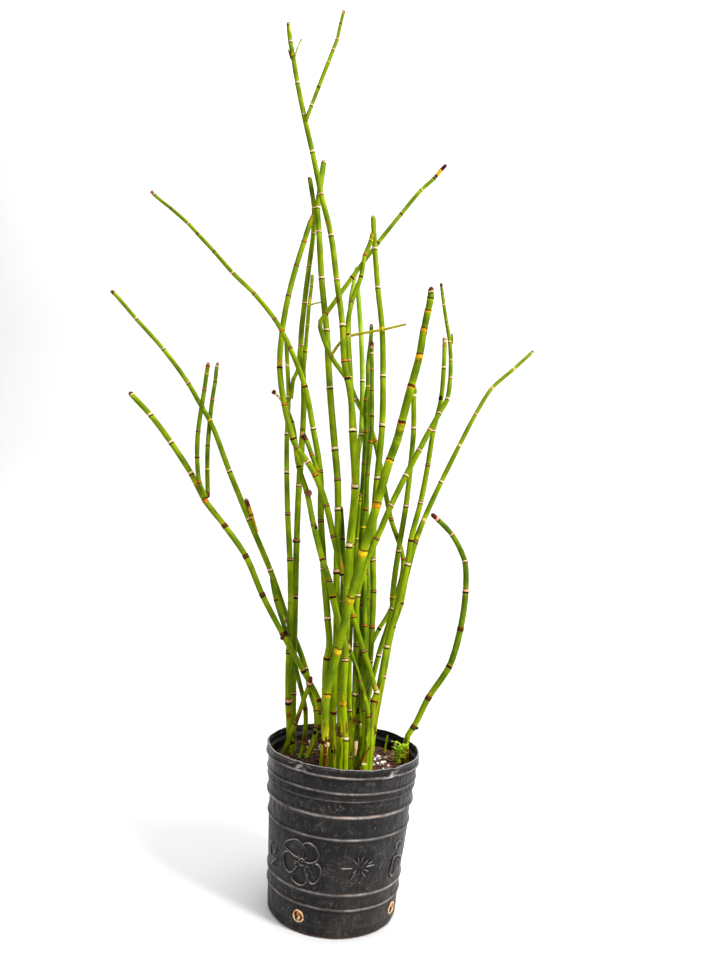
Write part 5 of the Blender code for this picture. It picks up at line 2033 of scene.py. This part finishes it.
@dataclass
class Studio:
    """A pale floor, soft lamps and the camera at the photo's viewing angle."""

    eye: Colour = (0, -0.9642, 0.4862)
    pitch: float = -3.67
    yaw: float = -0.38
    roll: float = 4.59
    focal_pixels: float = 722
    frame_pixels: float = 960
    sensor: float = 36
    floor_size: float = 6
    floor_colour: Colour = (0.68, 0.68, 0.68)
    floor_profile: Steps = (
        (-1, -0.5), (0, -0.5), (0.55, -0.5), (0.75, 110), (0.88, 370), (0.96, 800), (1, 1400),
        (1, 6000),
    )
    sky_strength: float = 0.25

    def camera(self) -> None:
        """Adds the camera."""
        data = bpy.data.cameras.new("camera")
        data.sensor_width = self.sensor
        data.lens = self.focal_pixels * self.sensor / self.frame_pixels
        data.clip_start = 0.01
        camera = placed("camera", data)
        pitch, yaw, roll = (math.radians(a) for a in (self.pitch, self.yaw, self.roll))
        ahead = Vector((math.sin(yaw) * math.cos(pitch), math.cos(yaw) * math.cos(pitch), -math.sin(pitch)))
        level = Vector((math.cos(yaw), -math.sin(yaw), 0))
        upward = level.cross(ahead)
        right = level * math.cos(roll) + upward * math.sin(roll)
        up = -level * math.sin(roll) + upward * math.cos(roll)
        camera.matrix_world = Matrix.Translation(self.eye) @ Matrix((right, up, -ahead)).transposed().to_4x4()
        bpy.context.scene.camera = camera

    def lamp(self, name: str, place: Colour, size: float, power: float, aim: Colour = (0, 0, 0.5)) -> None:
        """Adds one soft lamp.

        Args:
            name: Its name.
            place: Where it is, in metres.
            size: Its width, in metres.
            power: Its watts.
            aim: Where it points, in metres.
        """
        data = bpy.data.lights.new(name, "AREA")
        data.shape = "DISK"
        data.size = size
        data.energy = power
        lamp = placed(name, data)
        lamp.location = place
        lamp.rotation_euler = (Vector(aim) - Vector(place)).to_track_quat("-Z", "Y").to_euler()

    def floor(self) -> None:
        """Adds the floor, gently curved up far behind the plant."""
        nodes = Nodes("studio_floor")
        place = nodes.place()
        nodes.colour = self.floor_colour
        nodes.lay(nodes.grain(place, 3), 0.3, 0.7, 1, tuple(c * 0.985 for c in self.floor_colour))
        material = nodes.finish(0.85, nodes.bump(nodes.grain(place, 300), 0.02), 0.1)
        half = self.floor_size / MM / 2
        points = np.array([(x, half * share, z) for share, z in self.floor_profile for x in (-half, half)])
        faces = [[2 * n, 2 * n + 1, 2 * n + 3, 2 * n + 2] for n in range(len(self.floor_profile) - 1)]
        placed("studio_floor", new_mesh("studio_floor", points, faces, material))

    def make(self) -> None:
        """Builds the studio."""
        self.camera()
        self.floor()
        self.lamp("key_lamp", (1.9, -1.35, 2.1), 0.8, 116)
        self.lamp("fill_lamp", (-1.2, -2.4, 1.4), 1.4, 10)
        self.lamp("backdrop_lamp", (0, 0.6, 4.4), 4.4, 262, (0, 3.4, 0.6))
        world = bpy.data.worlds.new("studio_light")
        world.use_nodes = True
        background = world.node_tree.nodes["Background"]
        background.inputs["Color"].default_value = (1, 1, 1, 1)
        background.inputs["Strength"].default_value = self.sky_strength
        bpy.context.scene.world = world
        bpy.context.scene.view_settings.view_transform = "Standard"
        log.info("camera, floor and lamps are placed")


def main() -> None:
    """Builds every piece in order."""
    logging.basicConfig(level=logging.INFO, format="%(message)s")
    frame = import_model()
    slots = {part["node"]: part["material_slot"] for part in frame["record"]["subparts"]}
    Studio().make()
    pot = Pot()
    pot.make()
    Soil(pot).make()
    greens = {green: StemFinish(green).material() for green in Green}
    for number, stem in enumerate(STEMS):
        Skin(stem, frame["nodes"][stem.node], number).build(slots[stem.node], greens[stem.green])
    sheath = CrumbFinish("dry_sheath", 300, 0.12, 0.6, 0.22, 0.25).material()
    remains = Remains(frame["nodes"], sheath, greens[Green.FRESH])
    remains.peel()
    remains.curl()
    remains.stump()
    Seedling().make()


if __name__ == "__main__":
    main()
